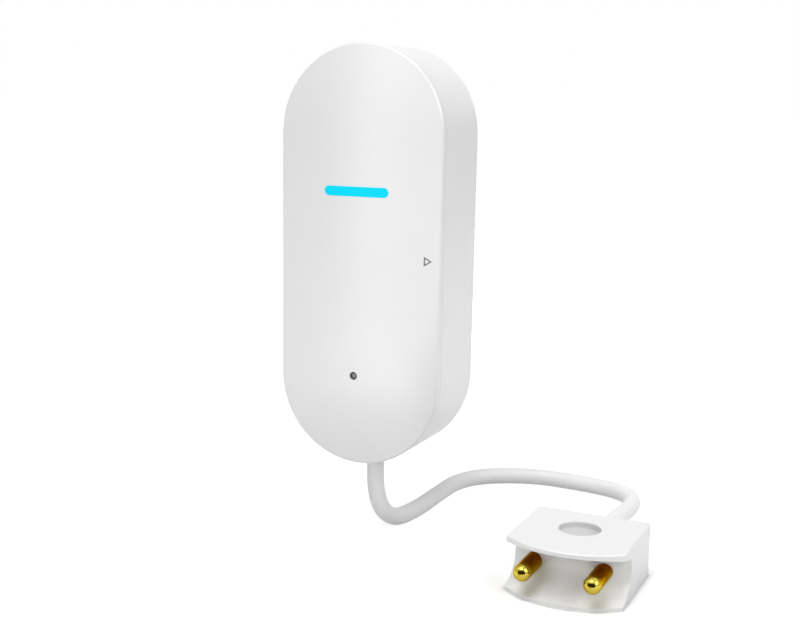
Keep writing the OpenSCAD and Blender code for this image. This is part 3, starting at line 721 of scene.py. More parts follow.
def make_piece(
    name: str,
    points: np.ndarray,
    body: Body,
    finish: Finish,
    closed: tuple[bool, bool] = (False, True),
    uv: np.ndarray | None = None,
    crease: float = 40.0,
) -> bpy.types.Object:
    """Make a dressed mesh piece from one or more grids of points and let it ride on a body.

    Args:
        name: Name of the piece.
        points: Copies by rows by columns by three coordinates in millimetres; copies may be left out.
        body: Body that it moves with.
        finish: Finish of the piece.
        closed: Whether the rows and the columns join round; open rows are closed by end faces.
        uv: Optional rows by columns by two surface coordinates of a single grid.
        crease: Angle in degrees above which an edge stays sharp.

    Returns:
        The new object, at the origin with its place in its mesh.
    """
    copies = points.reshape(-1, *points.shape[-3:]) * MM
    count, rows, columns = copies.shape[:3]
    offsets = np.arange(count)[:, None, None] * rows * columns
    faces = (grid_faces(rows, columns, *closed)[None] + offsets).reshape(-1, 4).tolist()
    if not closed[0]:
        rims = np.stack([np.arange(columns)[::-1], np.arange(columns) + (rows - 1) * columns])
        faces += (rims[None] + offsets).reshape(-1, columns).tolist()
    mesh = bpy.data.meshes.new(name)
    mesh.from_pydata(copies.reshape(-1, 3).tolist(), [], faces)
    if uv is not None:
        layer = mesh.uv_layers.new(name="surface")
        loops = np.zeros(len(mesh.loops), np.int32)
        mesh.loops.foreach_get("vertex_index", loops)
        layer.data.foreach_set("uv", uv.reshape(-1, 2)[loops].astype(np.float32).ravel())
    tidy_mesh(mesh, crease)
    piece = add_object(name, mesh)
    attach(piece, body.value)
    dress(piece, finish)
    return piece


def round_angles(sides: int) -> np.ndarray:
    """Give equal steps of one full turn."""
    return 2 * np.pi * np.arange(sides) / sides


def headings(line: np.ndarray) -> np.ndarray:
    """Give the unit direction of a line at each of its points."""
    ways = np.gradient(line, axis=0)
    return ways / np.linalg.norm(ways, axis=1, keepdims=True)


def dome(size: Pair, foot: float, steps: int, base: float = 0.0) -> np.ndarray:
    """Draw the profile of a dome on a straight foot: (r cos a, b + h sin a), from the top to the rim.

    Args:
        size: Radius r and rise h.
        foot: Height at which the foot ends, below the rim.
        steps: Points from the top to the rim.
        base: Height b of the rim.

    Returns:
        Rows of radius and height.
    """
    radius, rise = size
    angle = np.linspace(np.pi / 2, 0.0, steps)
    curve = np.stack([radius * np.cos(angle), base + rise * np.sin(angle)], axis=1)
    return np.vstack([curve, [[radius, foot]]])


def rounded_blocks(centres: np.ndarray, sizes: np.ndarray, radius: float, steps: int = 4) -> np.ndarray:
    """Draw blocks with rounded edges: p = c + s (h - r) + r d.

    The direction d runs over a sphere, s holds the signs of its octant, h the half sizes and r the
    radius, so that the sphere's eight octants are pushed apart to the block's corners.

    Args:
        centres: Middle of each block.
        sizes: Size of each block, or one size for all.
        radius: Radius of the edges.
        steps: Points along each quarter turn.

    Returns:
        Copies by rows by columns by three coordinates.
    """
    quarter = np.linspace(0.0, np.pi / 2, steps)
    tilt = np.concatenate([quarter - np.pi / 2, quarter])
    rise = np.repeat([-1.0, 1.0], steps)
    turn = (quarter[None] + np.arange(4)[:, None] * np.pi / 2).ravel()
    side_x = np.repeat([1.0, -1.0, -1.0, 1.0], steps)
    side_y = np.repeat([1.0, 1.0, -1.0, -1.0], steps)
    flat = np.cos(tilt)[:, None]
    parts = (flat * np.cos(turn), flat * np.sin(turn), np.sin(tilt)[:, None])
    way = np.stack(np.broadcast_arrays(*parts), axis=-1)
    sign = np.stack(np.broadcast_arrays(side_x[None], side_y[None], rise[:, None]), axis=-1)
    half = np.broadcast_to(np.asarray(sizes, float) / 2, (len(centres), 3))[:, None, None]
    return np.asarray(centres, float)[:, None, None] + sign * (half - radius) + radius * way


def turned(profile: np.ndarray, centres: np.ndarray, axis: Axis, sides: int = 40) -> np.ndarray:
    """Turn a profile round an axis: p = c + h k + r (cos a * i + sin a * j).

    Args:
        profile: Rows of radius and height along the axis.
        centres: Foot of the axis of each copy.
        axis: Direction of the axis.
        sides: Points round it.

    Returns:
        Copies by rows by columns by three coordinates.
    """
    across, beside, along = (np.array(v, float) for v in axis.value)
    angle = round_angles(sides)
    ring = np.cos(angle)[:, None] * across + np.sin(angle)[:, None] * beside
    shape = profile[:, 0, None, None] * ring + profile[:, 1, None, None] * along
    return np.asarray(centres, float)[:, None, None] + shape


def bent_strips(path: np.ndarray, section: Pair, feet: np.ndarray, ways: np.ndarray) -> np.ndarray:
    """Carry a flat section along a bent path: p = f + (u + t n_u) w + (v + t n_v) up + b across.

    The path's (u, v) are the reach outward and the height over the board, n is its normal, w the way
    outward in the board's plane, and across is square to both; t and b are half the section's sides.

    Args:
        path: Rows of reach and height.
        section: Thickness and width of the strip.
        feet: Point on the board from which each strip reaches out.
        ways: Direction of each strip, as x and z.

    Returns:
        Copies by rows by four corners by three coordinates.
    """
    heading = headings(path)
    normal = np.stack([-heading[:, 1], heading[:, 0]], axis=1)
    thick = np.array([1.0, 1.0, -1.0, -1.0]) * section[0] / 2
    broad = np.array([1.0, -1.0, -1.0, 1.0]) * section[1] / 2
    reach = path[:, None, 0] + thick * normal[:, None, 0]
    height = path[:, None, 1] + thick * normal[:, None, 1]
    way = np.asarray(ways, float)
    level = np.zeros(len(way))
    outward = np.stack([way[:, 0], level, way[:, 1]], axis=1)[:, None, None]
    across = np.stack([way[:, 1], level, -way[:, 0]], axis=1)[:, None, None]
    rise = np.array([0.0, -1.0, 0.0])
    shape = reach[..., None] * outward + height[..., None] * rise + broad[:, None] * across
    return np.asarray(feet, float)[:, None, None] + shape


def spline_line(control: np.ndarray, steps: int) -> np.ndarray:
    """Draw a smooth line by control points: a uniform cubic B-spline with its ends reflected.

    Each span blends four neighbouring points with the weights (1-t)^3, 3t^3-6t^2+4,
    -3t^3+3t^2+3t+1 and t^3, over 6, and the reflected ends make it start and stop on the
    first and last points.

    Args:
        control: Control points, one row each.
        steps: Points drawn in each span.

    Returns:
        The points of the line.
    """
    full = np.vstack([2 * control[:1] - control[1:2], control, 2 * control[-1:] - control[-2:-1]])
    t = np.arange(steps) / steps
    weights = np.stack([(1 - t) ** 3, 3 * t**3 - 6 * t**2 + 4, -3 * t**3 + 3 * t**2 + 3 * t + 1, t**3]) / 6
    spans = np.stack([full[k : len(full) - 3 + k] for k in range(4)], axis=1)
    line = np.einsum("ks,nkc->nsc", weights, spans).reshape(-1, 3)
    return np.vstack([line, control[-1:]])


def tube_grid(line: np.ndarray, radius: float, sides: int, guide: Point) -> tuple[np.ndarray, np.ndarray]:
    """Carry a circle along a line: p = c + r (cos a * side + sin a * up).

    Side is the heading crossed with a guide that is never along it, and up is side crossed
    with the heading.

    Args:
        line: Points of the centreline.
        radius: Radius of the tube.
        sides: Points round it.
        guide: Direction that the line never runs along.

    Returns:
        The grid of points, and the map of length along, in turns of the tube, and share round.
    """
    heading = headings(line)
    side = np.cross(heading, np.array(guide, float))
    side /= np.linalg.norm(side, axis=1, keepdims=True)
    up = np.cross(side, heading)
    angle = round_angles(sides)
    ring = np.cos(angle)[None, :, None] * side[:, None] + np.sin(angle)[None, :, None] * up[:, None]
    points = line[:, None] + radius * ring
    along = np.concatenate([[0.0], np.cumsum(np.linalg.norm(np.diff(line, axis=0), axis=1))])
    turns = along[:, None] / (2 * np.pi * radius)
    share = angle[None] / (2 * np.pi)
    return points, np.stack(np.broadcast_arrays(turns, share), axis=-1)


def make_lead(name: str, route: np.ndarray, guide: Point, finish: Finish) -> bpy.types.Object:
    """Make one of the thin insulated leads along a route.

    Args:
        name: Name of the piece.
        route: Control points of its centreline.
        guide: Direction that the route never runs along.
        finish: Its insulation.

    Returns:
        The lead, which rides on the housing.
    """
    line = spline_line(route, LEAD_STEPS)
    points, uv = tube_grid(line, LEAD_DIAMETER / 2, LEAD_SIDES, guide)
    return make_piece(name, points, Body.HOUSING, finish, uv=uv)


@dataclass
class PhotoCamera:
    """Camera that stands where the photograph was taken from."""

    place: Point = (0.110078, -0.239176, 0.029614)
    focal_px: float = 1216.68
    width_px: float = 800.0
    yaw: float = 24.629
    pitch: float = 9.738
    roll: float = 1.0735
    sensor_mm: float = 36.0
    clip: Pair = (0.01, 50.0)

    def build(self) -> None:
        """Make the camera from its yaw, downward pitch and roll, and set it as the scene's."""
        yaw, pitch, roll = (math.radians(a) for a in (self.yaw, self.pitch, self.roll))
        level = math.cos(pitch)
        ahead = Vector((-math.sin(yaw) * level, math.cos(yaw) * level, -math.sin(pitch)))
        right = Vector((math.cos(yaw), math.sin(yaw), 0.0))
        up = right.cross(ahead)
        across = math.cos(roll) * right + math.sin(roll) * up
        upright = -math.sin(roll) * right + math.cos(roll) * up
        lens = bpy.data.cameras.new("photo_camera")
        lens.sensor_width = self.sensor_mm
        lens.lens = self.focal_px * self.sensor_mm / self.width_px
        lens.clip_start, lens.clip_end = self.clip
        camera = add_object("photo_camera", lens)
        turn = Matrix((across, upright, -ahead)).transposed()
        camera.matrix_world = Matrix.Translation(self.place) @ turn.to_4x4()
        bpy.context.scene.camera = camera
        LOG.info("camera at %s", self.place)


@dataclass(frozen=True)
class SoftLamp:
    """One soft box: a rectangle of light turned towards a point."""

    name: str
    centre: Point
    aim: Point
    size: Pair
    radiance: float

    def build(self) -> None:
        """Make the lamp; its power is radiance times pi times its area."""
        lamp = bpy.data.lights.new(self.name, "AREA")
        lamp.shape = "RECTANGLE"
        lamp.size, lamp.size_y = self.size
        lamp.energy = self.radiance * math.pi * self.size[0] * self.size[1]
        holder = add_object(self.name, lamp)
        holder.location = self.centre
        way = Vector(self.aim) - Vector(self.centre)
        holder.rotation_euler = way.to_track_quat("-Z", "Y").to_euler()
        holder.visible_camera = False


@dataclass
class Studio:
    """White floor and surround, soft boxes, and a dark card that shows in reflections only.

    The stops give grey levels at shares of a reach: the floor's own light by the distance from the probe, and
    a painted shadow on it by the distance from the probe's foot.
    """

    floor_half: float = 20.0
    floor_bounce: float = 0.5
    surround: float = 0.05
    glow_at: Point = (0.048, -0.021, FLOOR_Z)
    glow_reach: float = 0.5
    glow_stops: tuple[Pair, ...] = ((0.032, 0.1), (0.062, 0.55), (0.5, 1.0))
    foot_at: Point = (0.048, -0.01461, FLOOR_Z)
    foot_shape: tuple[float, float, float] = (0.0116, 0.00691, 0.01749)
    # Reach and grey levels of the painted shadow round the probe's foot.
    painted_shadow_reach: float = 0.004
    painted_shadow_stops: tuple[Pair, ...] = ((0.02, 0.55), (0.12, 0.82), (0.35, 1.0))
    card_size: Pair = (0.08, 0.036)
    card_at: Point = (0.052, -0.066, -0.043)
    card_tone: float = 0.05
    lamps: tuple[SoftLamp, ...] = (
        SoftLamp("front_strip", (-0.097, -0.303, 0.1), (0.0, -0.02, 0.1), (0.105, 0.3), 1.83),
        SoftLamp("strip_right", (0.03, -0.319, 0.1), (0.0, -0.02, 0.1), (0.14, 0.3), 0.7),
        SoftLamp("front_low", (-0.04, -0.12, -0.046), (-0.04, 0.0, -0.046), (0.07, 0.03), 0.7),
        SoftLamp("front_foot", (0.0, -0.16, -0.048), (0.0, 0.0, -0.03), (0.12, 0.024), 0.9),
        SoftLamp("key_top", (-0.04, -0.5, 1.15), (0.0, -0.02, 0.0), (0.6, 0.6), 8.0),
        SoftLamp("left_high", (-0.4, -0.25, 0.5), (0.0, -0.02, 0.02), (0.3, 0.3), 1.0),
        SoftLamp("right_side", (0.426, -0.095, 0.25), (0.0, -0.02, 0.0), (0.3, 0.3), 4.15),
        SoftLamp("top_back", (0.158, 0.253, 0.451), (0.0, -0.02, 0.0), (0.4, 0.3), 0.8),
        SoftLamp("left_back", (-0.46, 0.3, 0.2), (0.0, -0.02, 0.0), (0.4, 0.4), 1.0),
    )

    def show_both(self, sheet: NodeSheet, lit: bpy.types.Node, seen: bpy.types.Node) -> None:
        """Let one shader light the scene, and show another to the camera, reflections and clear pieces.

        Args:
            sheet: Node sheet of the floor or the surround.
            lit: Shader for the rays that carry light.
            seen: Shader for the rays that are looked along.
        """
        path = sheet.node("LightPath").outputs
        looked = path["Is Camera Ray"]
        for name in ("Is Glossy Ray", "Is Transmission Ray"):
            looked = sheet.maths("MAXIMUM", looked, path[name])
        sheet.show(sheet.node("MixShader", {"Fac": looked, 1: lit.outputs[0], 2: seen.outputs[0]}))

    def sky(self) -> None:
        """Light the scene evenly, and show plain white to the camera and to reflections."""
        world = bpy.data.worlds.new("white_surround")
        bpy.context.scene.world = world
        sheet = NodeSheet(world)
        white = (1.0, 1.0, 1.0, 1.0)
        fill = sheet.node("Background", {"Color": white, "Strength": self.surround})
        self.show_both(sheet, fill, sheet.node("Background", {"Color": white}))

    def greys(self, sheet: NodeSheet, distance: Socket, reach: float, stops: Sequence[Pair]) -> Socket:
        """Give the grey level at a distance, by stops at shares of a reach."""
        share = sheet.maths("DIVIDE", distance, reach)
        return sheet.ramp(share, [(place, (level,) * 3) for place, level in stops])

    def glow(self, sheet: NodeSheet) -> Socket:
        """Give the floor's own light: low near the probe, so that shadows show, and full further off."""
        x, y, _ = sheet.split(sheet.coords(centre=self.glow_at))
        return self.greys(sheet, sheet.radius(x, y), self.glow_reach, self.glow_stops)

    def painted_contact_shadow(self, sheet: NodeSheet) -> Socket:
        """Give the floor's colour with a painted shadow, which darkens it close to the probe's foot.

        The distance to the foot is max(|x| - w, y - b, sqrt(x^2 + y^2) - r), measured from the centre
        of its curved front, with the half width w, the back b and the front's radius r.

        Args:
            sheet: Node sheet of the floor's material.

        Returns:
            The colour socket.
        """
        x, y, _ = sheet.split(sheet.coords(centre=self.foot_at))
        half, back, curve = self.foot_shape
        side = sheet.maths("SUBTRACT", sheet.maths("ABSOLUTE", x), half)
        front = sheet.maths("SUBTRACT", sheet.radius(x, y), curve)
        behind = sheet.maths("SUBTRACT", y, back)
        gap = sheet.maths("MAXIMUM", sheet.maths("MAXIMUM", side, front), behind)
        return self.greys(sheet, gap, self.painted_shadow_reach, self.painted_shadow_stops)

    def sheet_of(
        self, name: str, corners: Sequence[Point], finish: str
    ) -> tuple[bpy.types.Object, NodeSheet]:
        """Make a four-cornered sheet of the studio, which isn't part of the object.

        Args:
            name: Name of the sheet.
            corners: Its four corners, in order.
            finish: Name of its material.

        Returns:
            The object, and the node sheet of its material.
        """
        mesh = bpy.data.meshes.new(name)
        mesh.from_pydata(corners, [], [(0, 1, 2, 3)])
        mesh.materials.append(bpy.data.materials.new(finish))
        piece = add_object(name, mesh)
        return piece, NodeSheet(mesh.materials[0])

    def floor(self) -> None:
        """Lay the floor: pale paper to light, and white to the camera, with thin cast shadows and a painted
        shadow round the probe's foot.
        """
        corners = [(a * self.floor_half, b * self.floor_half, FLOOR_Z) for a, b in CORNERS]
        _, sheet = self.sheet_of("floor", corners, "floor_paper")
        bounce = sheet.node("BsdfDiffuse", {"Color": (self.floor_bounce,) * 3 + (1.0,)})
        # Painted shadow: the diffuse colour falls near the probe's foot.
        shade = sheet.node("BsdfDiffuse", {"Color": self.painted_contact_shadow(sheet)})
        glow = sheet.node("Emission", {"Color": self.glow(sheet)})
        self.show_both(sheet, bounce, sheet.node("AddShader", {0: shade.outputs[0], 1: glow.outputs[0]}))

    def card(self) -> None:
        """Stand a low dark card before the probe: only reflections show it, as a band in the pins' tips."""
        width, height = self.card_size
        x, y, z = self.card_at
        corners = [(x + a * width / 2, y, z + b * height / 2) for a, b in CORNERS]
        piece, sheet = self.sheet_of("dark_card", corners, "card_felt")
        for ray in ("camera", "diffuse", "transmission", "shadow"):
            setattr(piece, "visible_" + ray, False)
        sheet.show(sheet.node("Emission", {"Strength": self.card_tone}))

    def build(self) -> None:
        """Set the view transform, and make the surround, the floor, the card and the lamps."""
        bpy.context.scene.view_settings.view_transform = "Standard"
        self.sky()
        self.floor()
        self.card()
        for lamp in self.lamps:
            lamp.build()
        LOG.info("studio with %d soft boxes", len(self.lamps))


@dataclass
class CableRun:
    """Free cable from the grommet down to the floor and round to the back of the probe."""

    diameter: float = 3.8
    length: float = 141.5
    steps: int = 8
    sides: int = 40
    guide: Point = (1.0, 0.0, -1.0)
    route: tuple[Point, ...] = (
        (0, -10.3, -42.7), (0, -10.3, -44.5), (0.5, -11.5, -49), (1, -11, -53.5), (1.5, -8.5, -57),
        (2.5, -4.5, -59.1), (3.5, 0, -59.1), (4, 5, -59.1), (4, 11, -59.1), (4, 18, -59.1),
        (4, 26, -59.1), (7, 33, -59.1), (12.5, 37, -59.1), (18, 39.5, -59.1), (24, 40.5, -59.1),
        (30, 40, -59.1), (36, 39.5, -59.1), (41.5, 38, -59.1), (45.5, 34.5, -59.1), (47, 30, -59.1),
        (47, 25, -59), (47, 20, -58.5), (47, 14, -58), (47.5, 8, -57), (48, 2, -56), (48, -3, -56),
        (48, -7.7, -56),
    )

    def build(self, leads: Sequence[bpy.types.Object]) -> None:
        """Args:
            leads: The probe's inner leads; not used.
        """
        line = spline_line(np.array(self.route, float), self.steps)
        points, uv = tube_grid(line, self.diameter / 2, self.sides, self.guide)
        cable = make_piece("free_cable", points, Body.HOUSING, WHITE_SHEATH, uv=uv)
        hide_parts("probe_cable")


class SubAssembly:
    """Sub-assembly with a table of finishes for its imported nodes."""

    FINISHES: ClassVar[Mapping[str, Finish]] = {}

    def dress(self) -> None:
        """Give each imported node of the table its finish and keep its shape."""
        for name, finish in self.FINISHES.items():
            dress(frame["nodes"][name], finish)

    def build(self) -> None:
        """Make the sub-assembly's own pieces, where any are left to make."""


@dataclass
class Housing(SubAssembly):
    """Rear shell, crowned cover, seal and pad, with the small engraved mark on the cover."""

    mark_at: Pair = (14.6, 0.4)
    mark_size: Pair = (1.7, 2.05)
    mark_line: float = 0.3
    mark_cut: float = 0.25
    shade_rise: float = 0.05
    crown_radius: float = 86.213
    crown_centre: float = -65.513
    pad_thickness: float = 0.8
    joined_within: float = 0.002
    split_above: float = 25.0
    FINISHES: ClassVar[Mapping[str, Finish]] = {
        "rear_shell": WHITE_SHELL,
        "front_cover": WHITE_SHELL,
        "cover_gasket": SEAL_RUBBER,
        "adhesive_pad": PAD_FOAM,
    }

    def build(self) -> None:
        """Even out the cover's shading and paint shade into the mark's groove."""
        self.even_shading(frame["nodes"]["front_cover"])
        self.mark()

    def even_shading(self, shell: bpy.types.Object) -> None:
        """Shade a shell by its faces' areas, so that the poles of its turned ends show no glint.

        Args:
            shell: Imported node, whose mesh stays as it is.
        """
        weld = shell.modifiers.new("joined_points", "WELD")
        weld.merge_threshold = self.joined_within * MM
        split = shell.modifiers.new("split_edges", "EDGE_SPLIT")
        split.split_angle = math.radians(self.split_above)
        even = shell.modifiers.new("even_normals", "WEIGHTED_NORMAL")
        even.mode = "FACE_AREA"

    def front(self, across: np.ndarray) -> np.ndarray:
        """Give the cover's front at a distance across: y = -(t + h + sqrt(r^2 - x^2))."""
        return -(self.pad_thickness + self.crown_centre + np.sqrt(self.crown_radius**2 - across**2))

    def mark(self) -> None:
        """Lay a grey ribbon of painted shade in the mark's groove: the rim of a triangle, inset by the line's
        width.

        Each corner's inner point lies on the line to the triangle's inscribed centre, at the share
        1 - line / inscribed radius, so that the rim is equally wide on its three sides.
        """
        width, height = self.mark_size
        outer = np.array([[0.0, height / 2], [0.0, -height / 2], [width, 0.0]])
        lengths = np.linalg.norm(np.roll(outer, -1, axis=0) - np.roll(outer, 1, axis=0), axis=1)
        centre = lengths @ outer / lengths.sum()
        inscribed = width * height / lengths.sum()
        inner = centre + (outer - centre) * (1.0 - self.mark_line / inscribed)
        flat = np.stack([outer, inner, inner, outer]) + np.array(self.mark_at)
        floor = self.front(np.array(self.mark_at[0] + width / 2)) + self.mark_cut
        depth = np.array([floor - self.shade_rise] * 2 + [floor + SUNK] * 2)[:, None] + np.zeros((4, 3))
        points = np.stack([flat[..., 0], depth, flat[..., 1]], axis=-1)
        make_piece("mark_shade_ribbon", points, Body.COVER, MARK_GROOVE_SHADE, closed=(True, True), crease=20.0)


@dataclass
class StatusLight(SubAssembly):
    """Light bar in the cover and the two lamps on the board that light its ends."""

    lamp_at: tuple[Point, ...] = ((-10.2, -9.2, 13.6), (10.2, -9.2, 13.6))
    lamp_dome: Pair = (0.85, 0.3)
    FINISHES: ClassVar[Mapping[str, Finish]] = {"light_guide": CYAN_GUIDE, "status_leds": LED_WHITE}

    def build(self) -> None:
        """Set a phosphor dome on each lamp."""
        profile = dome(self.lamp_dome, foot=-DOME_SUNK, steps=8)
        points = turned(profile, np.array(self.lamp_at), Axis.FRONT, sides=32)
        domes = make_piece("lamp_domes", points, Body.HOUSING, LED_PHOSPHOR)


@dataclass
class PairingButton(SubAssembly):
    """Pairing switch, its plunger and the pin-hole over it."""

    centre: Pair = (0.0, -24.0)
    switch_front: float = -11.3
    plate: Pair = (5.5, 0.15)
    plate_hole: float = 1.85
    plate_edge: float = 0.05
    plate_power: int = 8
    plate_sides: int = 64
    rivet: Pair = (0.45, 0.28)
    rivet_inset: float = 0.6
    plunger_front: float = -19.1
    cap: Pair = (1.6, 0.28)
    shade_ring: tuple[float, float, float] = (0.84, 0.745, 0.5)
    shade_ring_reach: Pair = (-21.53, -20.6)
    shade_ring_bend: float = 0.06
    lip_thickness: float = 0.04
    lip_edge: float = 0.02
    membrane: float = -21.2
    membrane_lap: float = 0.04
    membrane_dish: float = 0.08
    membrane_back: float = 0.1
    FINISHES: ClassVar[Mapping[str, Finish]] = {
        "button_switch": CHIP_EPOXY,
        "button_plunger": PLUNGER_GREY,
    }

    def build(self) -> None:
        """Make the switch's plate and rivets, the plunger's cap and the pin-hole's seal with its ring of
        painted shade.
        """
        self.switch_plate()
        self.rivets()
        self.plunger_cap()
        self.hole_shade_ring()

    def foot(self, depth: float) -> np.ndarray:
        """Give the point on the button's axis at a depth."""
        return np.array([[self.centre[0], depth, self.centre[1]]])

    def switch_plate(self) -> None:
        """Make the steel plate: rings that go from a round hole to a rounded square.

        The rim's radius is the superellipse w / 2 / (|cos a|^n + |sin a|^n)^(1/n).
        """
        width, thick = self.plate
        power = self.plate_power
        angle = round_angles(self.plate_sides)
        rim = width / 2 / (np.abs(np.cos(angle)) ** power + np.abs(np.sin(angle)) ** power) ** (1 / power)
        hole = np.full_like(rim, self.plate_hole)
        radii = np.stack([hole, rim - self.plate_edge, rim, rim, hole])
        levels = np.array([thick, thick, thick - self.plate_edge, -SUNK, -SUNK])
        heights = np.broadcast_to(levels[:, None], radii.shape)
        flat = np.stack([radii * np.cos(angle), -heights, radii * np.sin(angle)], axis=-1)
        points = flat + self.foot(self.switch_front)[0]
        plate = make_piece("switch_plate", points, Body.HOUSING, STEEL_SHEET, closed=(True, True))

    def rivets(self) -> None:
        """Set four domed rivets at the corners of the switch's plate."""
        profile = dome(self.rivet, foot=0.0, steps=6, base=self.plate[1])
        out = self.plate[0] / 2 - self.rivet_inset
        corners = np.array([[x, 0.0, z] for x in (-out, out) for z in (-out, out)])
        points = turned(profile, self.foot(self.switch_front) + corners, Axis.FRONT, sides=20)
        rivets = make_piece("switch_rivets", points, Body.HOUSING, CHIP_EPOXY)

    def plunger_cap(self) -> None:
        """Crown the plunger with a pale shallow dome under the pin-hole."""
        profile = dome(self.cap, foot=-DOME_SUNK, steps=10)
        points = turned(profile, self.foot(self.plunger_front), Axis.FRONT)
        cap = make_piece("plunger_cap", points, Body.BUTTON, CAP_GREY)

    def hole_shade_ring(self) -> None:
        """Seal the pin-hole: a ring with a thin lip, dark as painted shade of the hole's wall, and a pale
        membrane that a pin presses on.

        The ring's profile has a quarter-round mouth, and the membrane is dished by the square of the
        share of its radius.
        """
        lip, outer, inner = self.shade_ring
        front, back = (-reach for reach in self.shade_ring_reach)
        under = front - self.lip_thickness
        bend = self.shade_ring_bend
        ease = np.linspace(0.0, np.pi / 2, 5)
        mouth = np.stack([inner + bend - bend * np.sin(ease), front - bend + bend * np.cos(ease)], axis=1)
        edge = [[lip, front - self.lip_edge], [lip - self.lip_edge, front]]
        rim = [[outer, back], [outer, under], [lip, under], *edge]
        profile = np.vstack([rim, mouth, [[inner, back]]])
        ring = turned(profile, self.foot(0.0), Axis.FRONT, sides=32)
        # The ring's dark grey is painted shade of the hole's wall.
        make_piece("pin_hole_ring", ring, Body.COVER, HOLE_SHADE, closed=(True, True))
        share = np.linspace(0.0, 1.0, 8)
        wide = inner + self.membrane_lap
        dish = np.stack([wide * share, -self.membrane - self.membrane_dish * share**2], axis=1)
        behind = back + self.membrane_back
        profile = np.vstack([dish, [[wide, behind], [0.0, behind]]])
        skin = turned(profile, self.foot(0.0), Axis.FRONT, sides=32)
        make_piece("pin_hole_membrane", skin, Body.COVER, CAP_GREY)


@dataclass
class ControlBoard(SubAssembly):
    """Board with its screws, radio can, chips and small parts.

    A chip is given by its middle across and up, its width and its height.
    """

    leg_path: tuple[Pair, ...] = (
        (-0.1, 0.72), (0.1, 0.72), (0.2, 0.69), (0.26, 0.6),
        (0.32, 0.2), (0.38, 0.1), (0.48, 0.075), (0.75, 0.075),
    )
    leg_section: Pair = (0.13, 0.38)
    memory: Chip = (-11.15, 0.7, 4.0, 5.0)
    memory_legs: tuple[float, ...] = (-1.905, -0.635, 0.635, 1.905)
    supply: Chip = (11.15, -2.3, 3.0, 3.0)
    guard: Chip = (11.15, -11.3, 3.0, 1.8)
    small_pitch: float = 0.95
    passive_at: tuple[Pair, ...] = (
        (-11.15, -13.3), (-11.15, -11.1), (-11.15, -8.9), (-11.15, -6.7),
        (-3.0, 33.3), (3.0, 33.3), (-10.2, 15.6), (10.2, 15.6),
    )
    passive_size: Point = (1.6, 0.8, 0.8)
    passive_end: float = 0.34
    antenna_at: Pair = (0.0, 35.5)
    antenna_size: Point = (7.0, 2.0, 1.0)
    antenna_end: float = 0.5
    end_over: float = 0.04
    end_radius: float = 0.08
    can: Chip = (0.0, 21.6, 14.0, 12.0)
    bead: Pair = (0.42, 0.26)
    bead_count: int = 4
    bead_spread: float = 0.36
    FINISHES: ClassVar[Mapping[str, Finish]] = {
        "main_pcb": BOARD_GREEN,
        "pcb_screws": STEEL_SCREW,
        "radio_shield": STEEL_SHEET,
        "pcb_chips": CHIP_EPOXY,
        "pcb_passives": CERAMIC_TAN,
        "chip_antenna": GLAZED_WHITE,
    }

    def build(self) -> None:
        """Make the chips' legs, the tinned ends and the solder beads."""
        self.legs()
        self.tinned_ends()
        self.beads()

    def legs(self) -> None:
        """Make the gull-wing legs of the three chips outside the can, row by row."""
        pitch = self.small_pitch
        rows = [(self.memory, (side, 0), self.memory_legs) for side in BOTH_SIDES]
        rows += [(self.supply, (0, side), (-pitch, 0.0, pitch)) for side in BOTH_SIDES]
        rows += [(self.guard, (0, -1), (-pitch, pitch)), (self.guard, (0, 1), (0.0,))]
        feet, ways = [], []
        for (x, z, width, height), (a, b), places in rows:
            edge = np.array([x + a * width / 2, BOARD_FRONT, z + b * height / 2])
            feet += [edge + np.array([abs(b), 0.0, abs(a)]) * place for place in places]
            ways += [(a, b)] * len(places)
        points = bent_strips(np.array(self.leg_path), self.leg_section, np.array(feet), np.array(ways))
        legs = make_piece("chip_legs", points, Body.HOUSING, TIN, crease=50.0)

    def end_blocks(self, places: Sequence[Pair], size: Point, end: float) -> np.ndarray:
        """Draw rounded blocks over both ends of small parts.

        Args:
            places: Middle of each part, across and up.
            size: Length, breadth and height of a part.
            end: Length of an end.

        Returns:
            Copies by rows by columns by three coordinates.
        """
        length, broad, tall = size
        reach = (length - end) / 2
        middles = [[x + s * reach, BOARD_FRONT - tall / 2, z] for x, z in places for s in BOTH_SIDES]
        cap = np.array([end, tall, broad]) + self.end_over
        return rounded_blocks(np.array(middles), cap, self.end_radius)

    def tinned_ends(self) -> None:
        """Cap the ends of the small parts and of the antenna with tin."""
        small = self.end_blocks(self.passive_at, self.passive_size, self.passive_end)
        large = self.end_blocks([self.antenna_at], self.antenna_size, self.antenna_end)
        caps = make_piece("tinned_ends", np.concatenate([small, large]), Body.HOUSING, TIN)

    def beads(self) -> None:
        """Set beads of solder round the foot of the radio can."""
        x, z, width, height = self.can
        along = np.linspace(-self.bead_spread, self.bead_spread, self.bead_count)
        feet = [[x + s * width / 2, BOARD_FRONT, z + v * height] for s in BOTH_SIDES for v in along]
        feet += [[x + v * width, BOARD_FRONT, z + s * height / 2] for s in BOTH_SIDES for v in along]
        profile = dome(self.bead, foot=-SUNK, steps=7)
        points = turned(profile, np.array(feet), Axis.FRONT, sides=20)
        beads = make_piece("can_solder", points, Body.HOUSING, TIN)


